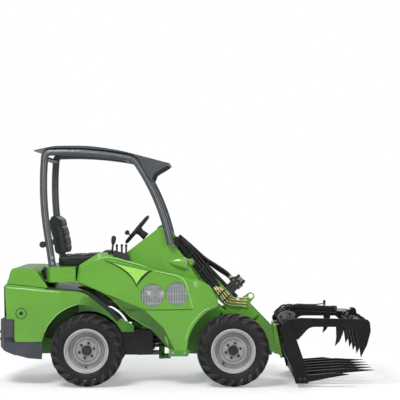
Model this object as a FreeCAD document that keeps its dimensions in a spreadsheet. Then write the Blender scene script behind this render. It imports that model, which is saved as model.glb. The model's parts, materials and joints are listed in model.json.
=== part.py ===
import FreeCAD, Part
import math
import os
import Sketcher

# Articulated mini loader with a telescopic boom and a fork grapple, boom lowered.
# All lengths are millimetres and all angles degrees.  The design frame has its
# origin on the ground under the articulation pivot: +X forward, +Y left, +Z up.
# Every sub-part is placed with `shift`, which moves the design frame so that the
# document's origin is under the middle of the whole machine.

os.makedirs("parts", exist_ok=True)
doc = FreeCAD.newDocument("mini_loader")
Vector = FreeCAD.Vector

# ---------------------------------------------------------------- sheet of sizes

SIZES = [
    # wheels and stance
    ("wheel_base", 1172), ("track", 860), ("tyre_dia", 585), ("tyre_width", 216),
    ("rim_dia", 330), ("hub_dia", 76),
    # boom linkage
    ("boom_pivot_x", 10), ("boom_pivot_z", 1239), ("boom_down_angle", 46.3),
    ("boom_reach", 1288), ("boom_pin_dia", 50),
    ("inner_half", 43), ("inner_low", 45), ("inner_high", 35), ("inner_wall", 7),
    ("slide_gap", 6), ("outer_wall", 8), ("outer_start", 60), ("outer_end", 1049),
    ("fin_thick", 12), ("fin_height", 112), ("eye_dia", 30),
    ("lift_eye_x", 877), ("lift_eye_z", -98), ("lift_foot_x", 48), ("lift_foot_z", 934),
    ("lift_barrel_dia", 66), ("lift_rod_dia", 32), ("pin_dia", 30),
    ("tilt_foot_x", 880), ("tilt_foot_z", -10), ("tilt_lug_x", 70), ("tilt_lug_z", -56),
    ("tilt_barrel_dia", 44), ("tilt_rod_dia", 24),
    # attachment
    ("tool_width", 1050), ("tool_plate", 12), ("tine_pitch", 165), ("tine_width", 30),
    ("tine_tip_x", 1735), ("tine_tip_z", 118),
    ("jaw_hinge_x", 1030), ("jaw_hinge_z", 495), ("jaw_pin_dia", 44),
    ("clamp_foot_x", 1078), ("clamp_foot_z", 601), ("clamp_eye_x", 1600),
    ("clamp_eye_z", 575), ("clamp_barrel_dia", 54), ("clamp_rod_dia", 26),
    # bodies
    ("body_half", 450), ("skin", 6), ("pod_inner", 290), ("rear_half", 420),
    ("rear_tail_x", -1360), ("arch_radius", 370), ("deck_radius", 700),
    ("platform_radius", 985), ("platform_gap", 15), ("vent_radius", 96),
    ("bevel_depth", 24), ("fender_radius", 312), ("hood_hinge_x", -1241),
    ("hood_hinge_z", 833), ("head_plate", 12), ("cheek_gap", 5), ("cheek_thick", 10),
    ("canopy_half", 391), ("canopy_tube", 60), ("canopy_top_z", 1893),
    ("steer_tilt", 50), ("steer_dia", 300), ("running_gap", 0.05), ("seat_gap", 0.3),
]

sheet = doc.addObject("Spreadsheet::Sheet", "dim")
for row, (name, value) in enumerate(SIZES, start=1):
    sheet.set(f"A{row}", name)
    sheet.set(f"B{row}", str(value))
    sheet.setAlias(f"B{row}", name)


class Size:
    """A number that also remembers the sheet formula which gives it."""

    def __init__(self, value, text):
        self.value = float(value)
        self.text = text

    def __add__(self, other):
        return Size(self.value + number(other), f"({self.text} + {formula(other)})")

    def __radd__(self, other):
        return Size(number(other) + self.value, f"({formula(other)} + {self.text})")

    def __sub__(self, other):
        return Size(self.value - number(other), f"({self.text} - {formula(other)})")

    def __rsub__(self, other):
        return Size(number(other) - self.value, f"({formula(other)} - {self.text})")

    def __mul__(self, other):
        return Size(self.value * number(other), f"({self.text} * {formula(other)})")

    def __rmul__(self, other):
        return Size(number(other) * self.value, f"({formula(other)} * {self.text})")

    def __truediv__(self, other):
        return Size(self.value / number(other), f"({self.text} / {formula(other)})")

    def __neg__(self):
        return Size(-self.value, f"(0 - {self.text})")


def number(value):
    return value.value if isinstance(value, Size) else float(value)


def formula(value):
    return value.text if isinstance(value, Size) else f"({value})"


def cosine(angle):
    return Size(math.cos(math.radians(number(angle))), f"cos({formula(angle)})")


def sine(angle):
    return Size(math.sin(math.radians(number(angle))), f"sin({formula(angle)})")


def length_of(dx, dz):
    value = math.hypot(number(dx), number(dz))
    return Size(value, f"sqrt(({formula(dx)})^2 + ({formula(dz)})^2)")


def heading_of(dx, dz):
    """The turn about +Y that points local +X along (dx, dz)."""
    value = -math.degrees(math.atan2(number(dz), number(dx)))
    return Size(value, f"atan2(0 - {formula(dz)}; {formula(dx)})")


class Sheet:
    """dim.name gives the Size of the cell with that alias."""


dim = Sheet()
for name, value in SIZES:
    setattr(dim, name, Size(value, f"dim.{name}"))

# ------------------------------------------------------------- derived positions

axle_x = dim.wheel_base / 2
axle_z = dim.tyre_dia / 2
shift = (dim.tine_tip_x + dim.rear_tail_x) / -2
fall = dim.boom_down_angle


def on_boom(x, z):
    """A point given along and square to the lowered boom, in the design frame."""
    return (dim.boom_pivot_x + x * cosine(fall) + z * sine(fall),
            dim.boom_pivot_z - x * sine(fall) + z * cosine(fall))


tool_x, tool_z = on_boom(dim.boom_reach, Size(0, "0"))
lift_eye = on_boom(dim.lift_eye_x, dim.lift_eye_z)
tilt_foot = on_boom(dim.tilt_foot_x, dim.tilt_foot_z)
tilt_lug = on_boom(dim.boom_reach + dim.tilt_lug_x, dim.tilt_lug_z)

# --------------------------------------------------------------------- modelling

PLANE = {"XY": "XY_Plane", "XZ": "XZ_Plane", "YZ": "YZ_Plane"}
sub_parts = []


def bind(thing, path, value):
    """Ties one property to the sheet, or sets it when it is a plain number."""
    if isinstance(value, Size):
        thing.setExpression(path, value.text)
    else:
        thing.setExpression(path, str(float(value)))


def new_body(label, x=0, z=0, turn=None, y=0):
    """A sub-part, placed at (x, y, z) of the design frame and turned about +Y."""
    body = doc.addObject("PartDesign::Body", label)
    body.Label = label
    bind(body, "Placement.Base.x", shift + x)
    bind(body, "Placement.Base.y", y)
    bind(body, "Placement.Base.z", z)
    if turn is not None:
        body.Placement = FreeCAD.Placement(Vector(0, 0, 0), Vector(0, 1, 0), 10)
        bind(body, "Placement.Rotation.Angle", turn)
    sub_parts.append(body)
    return body


def origin_plane(body, plane):
    for feature in body.Origin.OriginFeatures:
        if feature.Role == PLANE[plane]:
            return feature
    return None


def new_sketch(body, plane, offset):
    sketch = body.newObject("Sketcher::SketchObject", f"{body.Name}_sketch")
    sketch.AttachmentSupport = [(origin_plane(body, plane), "")]
    sketch.MapMode = "FlatFace"
    bind(sketch, "AttachmentOffset.Base.z", offset)
    return sketch


def corner_arc(previous, corner, following, radius):
    """The tangent arc that rounds one corner: its two ends and the arc itself."""
    to_previous = (previous - corner).normalize()
    to_following = (following - corner).normalize()
    half = to_previous.getAngle(to_following) / 2
    reach = radius / math.tan(half)
    bisector = (to_previous + to_following).normalize()
    centre = corner + bisector * (radius / math.sin(half))
    first = corner + to_previous * reach
    last = corner + to_following * reach
    turns_left = (to_following.cross(to_previous)).z > 0
    begin, end = (first, last) if turns_left else (last, first)
    angles = [math.atan2(p.y - centre.y, p.x - centre.x) for p in (begin, end)]
    if angles[1] < angles[0]:
        angles[1] += 2 * math.pi
    circle = Part.Circle(centre, Vector(0, 0, 1), radius)
    return first, Part.ArcOfCircle(circle, *angles), last, turns_left


def add_outline(sketch, points):
    """A closed outline; a point is (x, y) or, with its corner rounded, (x, y, radius)."""
    corners = [Vector(number(p[0]), number(p[1]), 0) for p in points]
    count = len(points)
    starts, ends, arcs = [], [], []
    for i, point in enumerate(points):
        if len(point) == 3:
            first, arc, last, turns_left = corner_arc(
                corners[i - 1], corners[i], corners[(i + 1) % count], number(point[2]))
            arcs.append((arc, turns_left))
            ends.append(first)
            starts.append(last)
        else:
            arcs.append(None)
            ends.append(corners[i])
            starts.append(corners[i])
    base = sketch.GeometryCount
    lines = [Part.LineSegment(starts[i], ends[(i + 1) % count]) for i in range(count)]
    sketch.addGeometry(lines, False)
    constraints, formulas = [], []

    def locate(geometry, position, point):
        for kind, value in (("DistanceX", point[0]), ("DistanceY", point[1])):
            formulas.append((len(constraints), value))
            constraints.append(
                Sketcher.Constraint(kind, -1, 1, geometry, position, number(value)))

    for i, point in enumerate(points):
        before = base + (i - 1) % count
        after = base + i
        if arcs[i] is None:
            constraints.append(Sketcher.Constraint("Coincident", before, 2, after, 1))
            locate(after, 1, point)
            continue
        arc = sketch.addGeometry(arcs[i][0], False)
        mark = sketch.addGeometry(Part.Point(corners[i]), True)
        locate(mark, 1, point)
        constraints.append(Sketcher.Constraint("PointOnObject", mark, 1, before))
        constraints.append(Sketcher.Constraint("PointOnObject", mark, 1, after))
        near, far = (1, 2) if arcs[i][1] else (2, 1)
        constraints.append(Sketcher.Constraint("Tangent", before, 2, arc, near))
        constraints.append(Sketcher.Constraint("Tangent", arc, far, after, 1))
        formulas.append((len(constraints), point[2]))
        constraints.append(Sketcher.Constraint("Radius", arc, number(point[2])))
    offset = sketch.ConstraintCount
    sketch.addConstraint(constraints)
    for index, value in formulas:
        if isinstance(value, Size):
            sketch.setExpression(f"Constraints[{offset + index}]", value.text)


def add_circle(sketch, x, y, radius):
    circle = sketch.addGeometry(
        Part.Circle(Vector(number(x), number(y), 0), Vector(0, 0, 1), number(radius)), False)
    offset = sketch.ConstraintCount
    sketch.addConstraint([
        Sketcher.Constraint("DistanceX", -1, 1, circle, 3, number(x)),
        Sketcher.Constraint("DistanceY", -1, 1, circle, 3, number(y)),
        Sketcher.Constraint("Radius", circle, number(radius))])
    for index, value in enumerate((x, y, radius)):
        if isinstance(value, Size):
            sketch.setExpression(f"Constraints[{offset + index}]", value.text)


def extrude(body, kind, plane, low, high, outlines=(), circles=()):
    """A Pad or Pocket of the outlines and circles between two levels of a plane."""
    at = -high if plane == "XZ" else low
    if kind == "Pocket":
        at = -low if plane == "XZ" else high
    sketch = new_sketch(body, plane, at)
    for points in outlines:
        add_outline(sketch, points)
    for x, y, radius in circles:
        add_circle(sketch, x, y, radius)
    feature = body.newObject(f"PartDesign::{kind}", f"{body.Name}_{kind.lower()}")
    feature.Profile = sketch
    bind(feature, "Length", high - low)
    return feature


def pad(body, plane, low, high, *outlines):
    return extrude(body, "Pad", plane, low, high, outlines)


def rod(body, plane, low, high, *circles):
    return extrude(body, "Pad", plane, low, high, (), circles)


def pocket(body, plane, low, high, *outlines):
    return extrude(body, "Pocket", plane, low, high, outlines)


def bore(body, plane, low, high, *circles):
    return extrude(body, "Pocket", plane, low, high, (), circles)


def box(x0, x1, z0, z1):
    return [(x0, z0), (x1, z0), (x1, z1), (x0, z1)]


def loft(body, plane, low, high, first, second):
    """A skin of straight rulings from one outline to another on a parallel plane."""
    sketches = []
    for level, points in ((low, first), (high, second)):
        sketch = new_sketch(body, plane, level * -1 if plane == "XZ" else level)
        add_outline(sketch, points)
        sketches.append(sketch)
    feature = body.newObject("PartDesign::AdditiveLoft", f"{body.Name}_loft")
    feature.Profile = sketches[0]
    feature.Sections = [sketches[1]]
    feature.Ruled = True
    return feature


def turned(body, points, groove=False):
    """A solid of revolution about local Y; points are (radius, y)."""
    sketch = new_sketch(body, "XY", 0)
    add_outline(sketch, points)
    kind = "Groove" if groove else "Revolution"
    feature = body.newObject(f"PartDesign::{kind}", f"{body.Name}_turn")
    feature.Profile = sketch
    feature.ReferenceAxis = (sketch, ["V_Axis"])
    feature.Angle = 360
    return feature


def turned_x(body, points):
    """A solid of revolution about local X; points are (x, radius)."""
    sketch = new_sketch(body, "XY", 0)
    add_outline(sketch, points)
    feature = body.newObject("PartDesign::Revolution", f"{body.Name}_turn")
    feature.Profile = sketch
    feature.ReferenceAxis = (sketch, ["H_Axis"])
    feature.Angle = 360
    return feature


def mirror_y(body, features):
    """Adds the features' mirror images across the machine's middle plane."""
    doc.recompute()
    feature = body.newObject("PartDesign::Mirrored", f"{body.Name}_mirror")
    feature.Originals = features
    feature.MirrorPlane = (origin_plane(body, "XZ"), [""])
    body.Tip = feature
    return feature


def pipe(body, plane, offset, points, radius):
    """A round tube along an open path with rounded corners, in a plane of the body."""
    path = new_sketch(body, plane, offset)
    corners = [Vector(number(p[0]), number(p[1]), 0) for p in points]
    here = corners[0]
    last_bend = None
    for i in range(1, len(points)):
        bend = None
        there = corners[i]
        if i + 1 < len(points):
            there, arc, leave, turns_left = corner_arc(
                corners[i - 1], corners[i], corners[i + 1], number(points[i][2]))
        line = path.addGeometry(Part.LineSegment(here, there), False)
        if last_bend is not None:
            path.addConstraint(Sketcher.Constraint("Tangent", *last_bend, line, 1))
        if i + 1 < len(points):
            bend = path.addGeometry(arc, False)
            near, far = (1, 2) if turns_left else (2, 1)
            path.addConstraint(Sketcher.Constraint("Tangent", line, 2, bend, near))
            last_bend = (bend, far)
            here = leave
    doc.recompute()
    profile = body.newObject("Sketcher::SketchObject", f"{body.Name}_section")
    profile.AttachmentSupport = [(path, "Edge1")]
    profile.MapMode = "NormalToEdge"
    profile.MapPathParameter = 0
    add_circle(profile, 0, 0, radius)
    feature = body.newObject("PartDesign::AdditivePipe", f"{body.Name}_pipe")
    feature.Profile = profile
    feature.Spine = (path, [])
    return feature


# ------------------------------------------------------------------------ wheels

def make_tyre(label, x, y):
    body = new_body(label, x, axle_z, None, y)
    outer = dim.tyre_dia / 2
    bead = dim.rim_dia / 2 + dim.seat_gap
    half = dim.tyre_width / 2
    turned(body, [
        (bead, half - 28), (bead + 14, half - 14), (outer - 60, half), (outer - 12, half - 26),
        (outer, half - 56), (outer, 56 - half), (outer - 12, 26 - half), (outer - 60, -half),
        (bead + 14, 14 - half), (bead, 28 - half)])


def make_rim(label, x, y, side):
    """side is +1 where the outer face looks along +Y."""
    body = new_body(label, x, axle_z, None, y)
    seat = dim.rim_dia / 2
    half = dim.tyre_width / 2 - 28 + dim.seat_gap
    hub = dim.hub_dia / 2
    flange = seat + 12
    centre = Size(0, "0")
    profile = [
        (seat, half), (flange, half + 12), (flange - 5, half + 17), (seat - 7, half - 2),
        (seat - 24, 24), (hub + 30, 40), (hub, 34), (hub - 4, 62), (centre, 62), (centre, 22),
        (hub + 40, 22), (seat - 26, 6), (seat - 7, 2 - half), (flange - 5, -half - 17),
        (flange, -half - 12), (seat, -half)]
    if side < 0:
        profile = [(radius, -1 * y) for radius, y in profile]
    turned(body, profile)


for name, x, side in (("front_left", axle_x, 1), ("front_right", axle_x, -1),
                      ("rear_left", -axle_x, 1), ("rear_right", -axle_x, -1)):
    make_tyre(f"tyre_{name}", x, dim.track / 2 * side)
    make_rim(f"rim_{name}", x, dim.track / 2 * side, side)


# --------------------------------------------------------------- front chassis

def make_front_frame():
    """Welded lower frame, the axle beam with its wheel motors, and the lift tower."""
    body = new_body("front_frame")
    plate_out, plate_in = 150, 132
    side = pad(body, "XZ", plate_in, plate_out, [
        (70, 235), (axle_x + 60, 215), (axle_x + 75, 330), (axle_x - 80, 450), (470, 660),
        (360, 700), (70, 560)])
    mirror_y(body, [side])
    pad(body, "XZ", -plate_in, plate_in, box(axle_x - 45, axle_x + 45, axle_z - 50, axle_z + 50))
    pad(body, "XZ", -plate_in, plate_in, box(70, 84, 235, 560))
    pad(body, "XZ", -plate_in, plate_in, box(84, 470, 235, 247))
    motor = rod(body, "XZ", plate_out, 320, (axle_x, axle_z, 82))
    flange = rod(body, "XZ", 320, dim.track / 2 + 22 - dim.seat_gap, (axle_x, axle_z, 56))
    mirror_y(body, [motor, flange])
    tower_in, tower_out = 70, 86
    px, pz = dim.boom_pivot_x, dim.boom_pivot_z
    tower = pad(body, "XZ", tower_in, tower_out, [
        (84, 247), (330, 247), (300, 640), (180, 960), (px + 62, pz + 20, 40),
        (px - 20, pz + 62, 40), (px - 62, pz, 40), (-20, 900), (84, 560)])
    mirror_y(body, [tower])
    pad(body, "XZ", -tower_in, tower_in, box(110, 290, 300, 312))
    pin = rod(body, "XZ", tower_out, tower_out + 14, (px, pz, 44),
              (dim.lift_foot_x, dim.lift_foot_z, 34))
    mirror_y(body, [pin])
    rod(body, "XZ", -tower_in, tower_in, (px, pz, dim.boom_pin_dia / 2))
    cheek = pad(body, "XZ", tower_out, plate_in, box(180, 192, 500, 640))
    outrigger = pad(body, "XZ", plate_out, dim.body_half - dim.skin - dim.seat_gap,
                    box(180, 192, 500, 560))
    mirror_y(body, [cheek, outrigger])
    for low in (180, 400):
        pad(body, "XY", low, low + 24, [
            (0, -60, 50), (75, -90), (75, 90), (0, 60, 50)])
        bore(body, "XY", low - 5, low + 30, (0, 0, 25))


vents = ((-63, 732), (136, 745))
cowl_half = dim.canopy_half - dim.canopy_tube / 2 - dim.seat_gap


def make_front_cowl():
    """The gabled hood round the lift tower, open at the front for the boom."""
    body = new_body("front_cowl")
    half = cowl_half
    skin = dim.skin
    slot = 120
    pad(body, "XZ", -half, half, [
        (-330, 1020), (-300, 1052), (-17, 1270, 18), (40, 1262, 18), (50, 1160, 20),
        (116, 1124), (203, 1017), (302, 858), (322, 760), (-300, 760)])
    inner = [(-330 + skin, 700), (-324 + skin, 1018), (-296, 1047), (-17, 1262), (30, 1254),
             (42, 1154), (110, 1118), (196, 1012), (295, 856), (314, 700)]
    pocket(body, "XZ", slot + skin, half - skin, inner)
    pocket(body, "XZ", skin - half, -slot - skin, inner)
    pocket(body, "XZ", -slot, slot, [(-90, 700), (-90, 1300), (400, 1300), (400, 700)])
    pocket(body, "XZ", -slot, slot, [
        (-330 + skin, 700), (-324 + skin, 1018), (-296, 1047), (-96, 1199), (-96, 700)])


def make_side_cover(label, side):
    """One outer side shell: its pod, its bevelled edges, wheel arch and two vent holes."""
    body = new_body(label)
    outer, inner = dim.body_half, dim.pod_inner
    bevel = outer - dim.bevel_depth
    outline = [
        (-652, 972), (-491, 1072, 60), (-322, 1037, 40), (-57, 940), (255, 862), (302, 858),
        (403, 805, 60), (469, 672, 30), (454, 600), (230, 239), (69, 239), (69, 300),
        (-77, 462, 60), (-238, 555), (-399, 712, 120), (-522, 777), (-674, 826, 20)]
    face = [
        (-636, 950), (-482, 1039, 60), (-330, 1000, 40), (-57, 925), (225, 848), (263, 838),
        (300, 740, 60), (322, 640, 30), (322, 560), (215, 262), (122, 262), (115, 297),
        (31, 466, 60), (-131, 620), (-330, 700, 120), (-506, 774), (-650, 838, 20)]
    low, high = (inner, bevel) if side > 0 else (bevel * -1, inner * -1)
    pad(body, "XZ", low, high, outline)
    loft(body, "XZ", bevel * side, outer * side, outline, face)
    deep = bevel - dim.skin
    low, high = (inner, deep) if side > 0 else (deep * -1, inner * -1)
    pocket(body, "XZ", low, high, [
        (-640, 962), (-488, 1058, 54), (-326, 1027, 40), (-60, 931), (252, 853), (297, 849),
        (396, 798, 54), (458, 672, 24), (446, 600), (224, 247), (77, 247), (77, 303),
        (-72, 468, 66), (-232, 561), (-394, 719, 126), (-517, 784), (-660, 832, 20)])
    deep = outer - dim.skin
    low, high = (inner, deep) if side > 0 else (deep * -1, inner * -1)
    pocket(body, "XZ", low, high, [
        (-624, 946), (-480, 1029, 54), (-334, 992, 40), (-60, 917), (221, 840), (256, 831),
        (292, 738, 54), (314, 640, 24), (314, 566), (208, 270), (128, 270), (123, 300),
        (38, 472, 66), (-127, 627), (-327, 709, 126), (-503, 782), (-640, 845, 20)])
    low, high = (inner - 1, outer + 1) if side > 0 else (-outer - 1, 1 - inner)
    bore(body, "XZ", low, high, (axle_x, axle_z, dim.arch_radius))
    clear = cowl_half + dim.seat_gap
    low, high = (inner - 1, clear) if side > 0 else (clear * -1, 1 - inner)
    pocket(body, "XZ", low, high, [
        (-330.3, 1300), (700, 1300), (700, 100), (-60, 100), (-330.3, 600)])
    low, high = (outer - 20, outer + 1) if side > 0 else (-outer - 1, 20 - outer)
    for x, z in vents:
        bore(body, "XZ", low, high, (x, z, dim.vent_radius))


def make_vents():
    """Four grilles of upright slats behind the side covers' round holes."""
    body = new_body("round_vents")
    outer = dim.body_half - dim.skin - dim.seat_gap
    reach = dim.vent_radius + 5
    ties, slats = [], []
    for x, z in vents:
        for level in (z - 70, z - 4, z + 62):
            wide = 95 if level == z - 4 else 64
            ties.append(box(x - wide, x + wide, level, level + 8))
        for step in range(-7, 8):
            across = x + step * 13
            tall = math.sqrt(number(reach) ** 2 - (step * 13) ** 2)
            slats.append(box(across - 4, across + 4, z - tall, z + tall))
    behind = pad(body, "XZ", outer - 10, outer - 6, *ties)
    front = pad(body, "XZ", outer - 8, outer, *slats)
    mirror_y(body, [behind, front])


def make_floor_pan():
    """The footwell between the side shells, with the dash wall in front."""
    body = new_body("floor_pan")
    half = dim.pod_inner - dim.seat_gap
    pad(body, "XZ", -half, half, [
        (-655, 834), (-560, 826), (-500, 640, 60), (-337.3, 640, 30), (-337.3, 1010),
        (-330.6, 1010), (-330.6, 632, 38), (-505, 632, 68), (-567, 816), (-655, 824)])


def make_seat_platform():
    """The seat base that overhangs the rear body; its back edge is an arc."""
    body = new_body("seat_platform")
    half = dim.body_half - 15
    pad(body, "XY", 835, 956, [
        (-1000, -half), (-680, -half), (-680, half), (-1000, half)])
    pocket(body, "XY", 828, 948, [
        (-965, 90 - half), (-688, 12 - half), (-688, half - 12), (-965, half - 90)])
    pad(body, "XY", 835, 843, [
        (-966, 89 - half), (-687, 11 - half), (-687, half - 11), (-966, half - 89)])
    sketch = new_sketch(body, "XY", 1000)
    add_circle(sketch, 0, 0, dim.platform_radius)
    add_circle(sketch, 0, 0, dim.platform_radius + 200)
    feature = body.newObject("PartDesign::Pocket", "seat_platform_arc")
    feature.Profile = sketch
    feature.Length = 200


def make_seat():
    cushion = new_body("seat_cushion")
    pad(cushion, "XZ", -235, 235, [
        (-860, 956.3), (-430, 956.3), (-410, 1030, 40), (-440, 1060, 30), (-860, 1035)])
    back = new_body("seat_backrest", -800, 1035.3)
    pad(back, "XZ", -225, 225, [
        (-60, 0), (30, 5.4), (25, 60), (-40, 340, 40), (-110, 350, 30), (-130, 310)])


def make_canopy():
    """Two bowed side frames joined by cross tubes, and the roof panel on them."""
    frame = new_body("canopy_frame")
    half = dim.canopy_half
    top = dim.canopy_top_z
    path = [(84, 1136), (1, 1510, 1750), (-211, top - 61, 110), (-560, top, 2700),
            (-930, top - 11, 45), (-957, 1535, 2500), (-870, 961)]
    for y in (-1 * half, half):
        pipe(frame, "XZ", y * -1, path, dim.canopy_tube / 2)
    inside = half - dim.canopy_tube / 6
    rod(frame, "XZ", -1 * inside, inside, (-934, top - 60, 20))
    rod(frame, "XZ", -1 * inside, inside, (-300, top - 48, 20))
    roof = new_body("canopy_roof")
    over = top + dim.canopy_tube / 2
    pad(roof, "XZ", -half - 40, half + 40, [
        (-1012, over - 26), (-860, over + 9, 600), (-560, over + 11.5, 1500),
        (-310, over - 30, 900), (76, over - 131), (71, over - 138.5), (-255, over - 51.9),
        (-557.8, over + 1.1, 2730), (-900, over - 9.2), (-1014, over - 35)])
    visor = pad(roof, "XZ", half + 32, half + 40, [
        (-186, over - 66.3), (66, over - 132.8), (56, over - 150), (-47, over - 212),
        (-70, over - 268), (-112, over - 223), (-170, over - 100)])
    mirror_y(roof, [visor])


def make_steering():
    column = new_body("steering_column", -206, 1252, 90 - dim.steer_tilt)
    turned_x(column, [(31, 0), (31, 28), (95.6, 34), (95.6, 0)])
    wheel = new_body("steering_wheel", -206, 1252, 90 - dim.steer_tilt)
    ring = dim.steer_dia / 2
    grip = 14
    turned_x(wheel, [
        (grip, ring - grip), (grip / 2, ring), (-grip / 2, ring), (-grip, ring - grip),
        (-grip / 2, ring - 2 * grip), (grip / 2, ring - 2 * grip)])
    rod(wheel, "YZ", -8, 30, (0, 0, 34))
    for turn in (0, 120, 240):
        c, s = math.cos(math.radians(turn)), math.sin(math.radians(turn))
        w = 12
        pad(wheel, "YZ", -4, 5, [
            (c * 20 - s * w, s * 20 + c * w), (c * 20 + s * w, s * 20 - c * w),
            (c * (ring - 12) + s * w, s * (ring - 12) - c * w),
            (c * (ring - 12) - s * w, s * (ring - 12) + c * w)])


def make_console():
    body = new_body("control_console")
    pad(body, "XZ", -440, -366, [
        (-380, 1049.4), (-322, 1037.4), (-255, 1012.9), (-250, 1050), (-368, 1090)])
    for x in (-350, -310, -275):
        rod(body, "XY", 1050, 1124, (x, -400, 8))


def make_lamps():
    body = new_body("front_lamps")
    lamp = pad(body, "XZ", 250, 330, [(203.5, 1017), (240.8, 957), (280, 975), (262, 1020)])
    mirror_y(body, [lamp])


# ---------------------------------------------------------------- rear chassis

def make_rear_frame():
    body = new_body("rear_frame")
    side = pad(body, "XZ", 132, 150, [
        (-1169.7, 230), (-200, 230), (-200, 420), (-420, 440), (-axle_x, 470), (-1169.7, 420)])
    mirror_y(body, [side])
    pad(body, "XZ", -132, 132, box(-214, -200, 230, 420))
    pad(body, "XZ", -132, 132, box(-1169.7, -1157, 230, 420))
    pad(body, "XZ", -132, 132, box(-axle_x - 45, -axle_x + 45, axle_z - 50, axle_z + 50))
    motor = rod(body, "XZ", 150, 320, (-axle_x, axle_z, 82))
    flange = rod(body, "XZ", 320, dim.track / 2 + 22 - dim.seat_gap, (-axle_x, axle_z, 56))
    outrigger = pad(body, "XZ", 150, dim.rear_half - dim.skin - dim.seat_gap,
                    box(-1150, -1138, 370, 420))
    mirror_y(body, [motor, flange, outrigger])
    for low in (209, 371):
        pad(body, "XY", low, low + 24, [(-200, -90), (0, -60, 50), (0, 60, 50), (-200, 90)])
    rod(body, "XY", 170, 434, (0, 0, 24))
    gusset = pad(body, "XZ", 132, 150, [
        (-260, 400), (-210, 400), (-82, 444), (-82, 456), (-140, 520), (-158, 525), (-260, 470)])
    sill = pad(body, "XZ", 148, 236, [
        (-158, 444), (-158, 525), (-140, 520), (-82, 456), (-82, 444)])
    mirror_y(body, [gusset, sill])


def make_engine():
    body = new_body("engine_block")
    between = 132 - dim.seat_gap
    pad(body, "XZ", -between, between, box(-1120, -740, 300, 480))
    pad(body, "XZ", -190, 190, [
        (-1120, 480), (-740, 480), (-740, 640), (-800, 740), (-1060, 740), (-1120, 660)])


def make_rear_body():
    """Hollow rear shell with its wheel arches, open under the hood lid."""
    body = new_body("rear_body")
    half = dim.rear_half
    skin = dim.skin
    outline = [
        (-1235, 532), (-1251, 813), (-1232, 823), (-927, 789), (-645, 767), (-570, 757, 60),
        (-462, 679, 120), (-320, 544), (-320, 520), (-400, 500), (-955, 355), (-1164, 355)]
    inner = [
        (-1229, 400), (-1242, 840), (-927, 840), (-935, 781), (-645, 759), (-574, 749, 60),
        (-468, 672, 120), (-300, 500), (-300, 300), (-1160, 300)]
    pad(body, "XZ", -half, half, outline)
    pocket(body, "XZ", skin - half, half - skin, inner)
    bore(body, "XZ", -half - 1, half + 1, (-axle_x, axle_z, dim.arch_radius))
    bore(body, "XZ", skin - half, half - skin, (-axle_x, axle_z, dim.arch_radius + 60))
    sketch = new_sketch(body, "XY", 900)
    add_circle(sketch, 0, 0, dim.deck_radius)
    cut = body.newObject("PartDesign::Pocket", "rear_body_deck")
    cut.Profile = sketch
    cut.Length = 900
    fender = pad(body, "XZ", half - skin, half, [
        (-700, 771.3), (-645, 767), (-570, 757, 60), (-462, 679, 120), (-320, 544),
        (-260, 518), (-215, 486), (-215, 436), (-330, 436), (-585, 560), (-655, 580),
        (-655, 690), (-700, 690)])
    well = pad(body, "XZ", 296, 302, [
        (-935, 782.5), (-645, 760.5), (-640, 690), (-640, 540), (-700, 480), (-880, 480),
        (-935, 540)])
    mirror_y(body, [fender, well])
    bore(body, "XZ", -half - 1, half + 1, (-axle_x, axle_z, dim.fender_radius))
    x, z = dim.hood_hinge_x, dim.hood_hinge_z
    ear = rod(body, "XZ", 260.3, 300, (x, z, 9))
    web = pad(body, "XZ", 260.3, 300, [
        (-1251, 811), (-1249, 836), (-1237, 836), (-1234.5, 822), (-1238, 811)])
    mirror_y(body, [ear, web])


def make_hood():
    body = new_body("engine_hood")
    half = dim.rear_half
    skin = dim.skin
    pad(body, "XZ", -half, half, [
        (-1231, 823.6), (-1204, 925, 20), (-1187, 945, 20), (-1023, 945, 14), (-990, 914),
        (-900, 788.4)])
    pocket(body, "XZ", skin - half, half - skin, [
        (-1238, 770), (-1198, 919, 16), (-1181, 939, 16), (-1027, 939, 10),
        (-996, 910), (-896, 770)])
    sketch = new_sketch(body, "XY", 1000)
    add_circle(sketch, 0, 0, dim.platform_radius + dim.platform_gap)
    cut = body.newObject("PartDesign::Pocket", "hood_front_arc")
    cut.Profile = sketch
    cut.Length = 400
    knuckle = rod(body, "XZ", 200, 260, (dim.hood_hinge_x, dim.hood_hinge_z, 12.5))
    mirror_y(body, [knuckle])


def make_counterweight():
    body = new_body("counterweight")
    pad(body, "XY", 242, 523, [
        (-1310, -260, 40), (-1310, 260, 40), (-1257, 400, 40), (-1170, 400), (-1170, -400),
        (-1257, -400, 40)])
    pocket(body, "XZ", -401, 401, [(-1320, 230), (-1320, 306), (-1150, 235)])
    skirt = pad(body, "XZ", 394, 414, [
        (-1200, 258), (-1200, 354.7), (-955, 354.7), (-948, 300), (-955, 214), (-1060, 222)])
    mirror_y(body, [skirt])


def make_side_boxes():
    body = new_body("side_boxes")
    half = pad(body, "XZ", 150 + dim.seat_gap, 232, [
        (-331, 229), (-66, 229), (-66, 430), (-331, 443)])
    mirror_y(body, [half])


def make_tow_hitch():
    body = new_body("tow_hitch")
    for low in (330, 390):
        pad(body, "XY", low, low + 14, [
            (-1315, -50), (-1315, 50), (dim.rear_tail_x, 34, 20), (dim.rear_tail_x, -34, 20)])
        bore(body, "XY", low - 2, low + 16, (-1336, 0, 13))
    pad(body, "YZ", -1315, -1310, [(-60, 320), (60, 320), (60, 412), (-60, 412)])


# ------------------------------------------------------------------------- boom

def boom_body(label):
    return new_body(label, dim.boom_pivot_x, dim.boom_pivot_z, fall)


outer_half = dim.inner_half + dim.slide_gap + dim.outer_wall
cheek_in = dim.inner_half + dim.head_plate + dim.cheek_gap
outer_low = -dim.inner_low - dim.slide_gap - dim.outer_wall
outer_high = dim.inner_high + dim.slide_gap + dim.outer_wall


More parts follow.
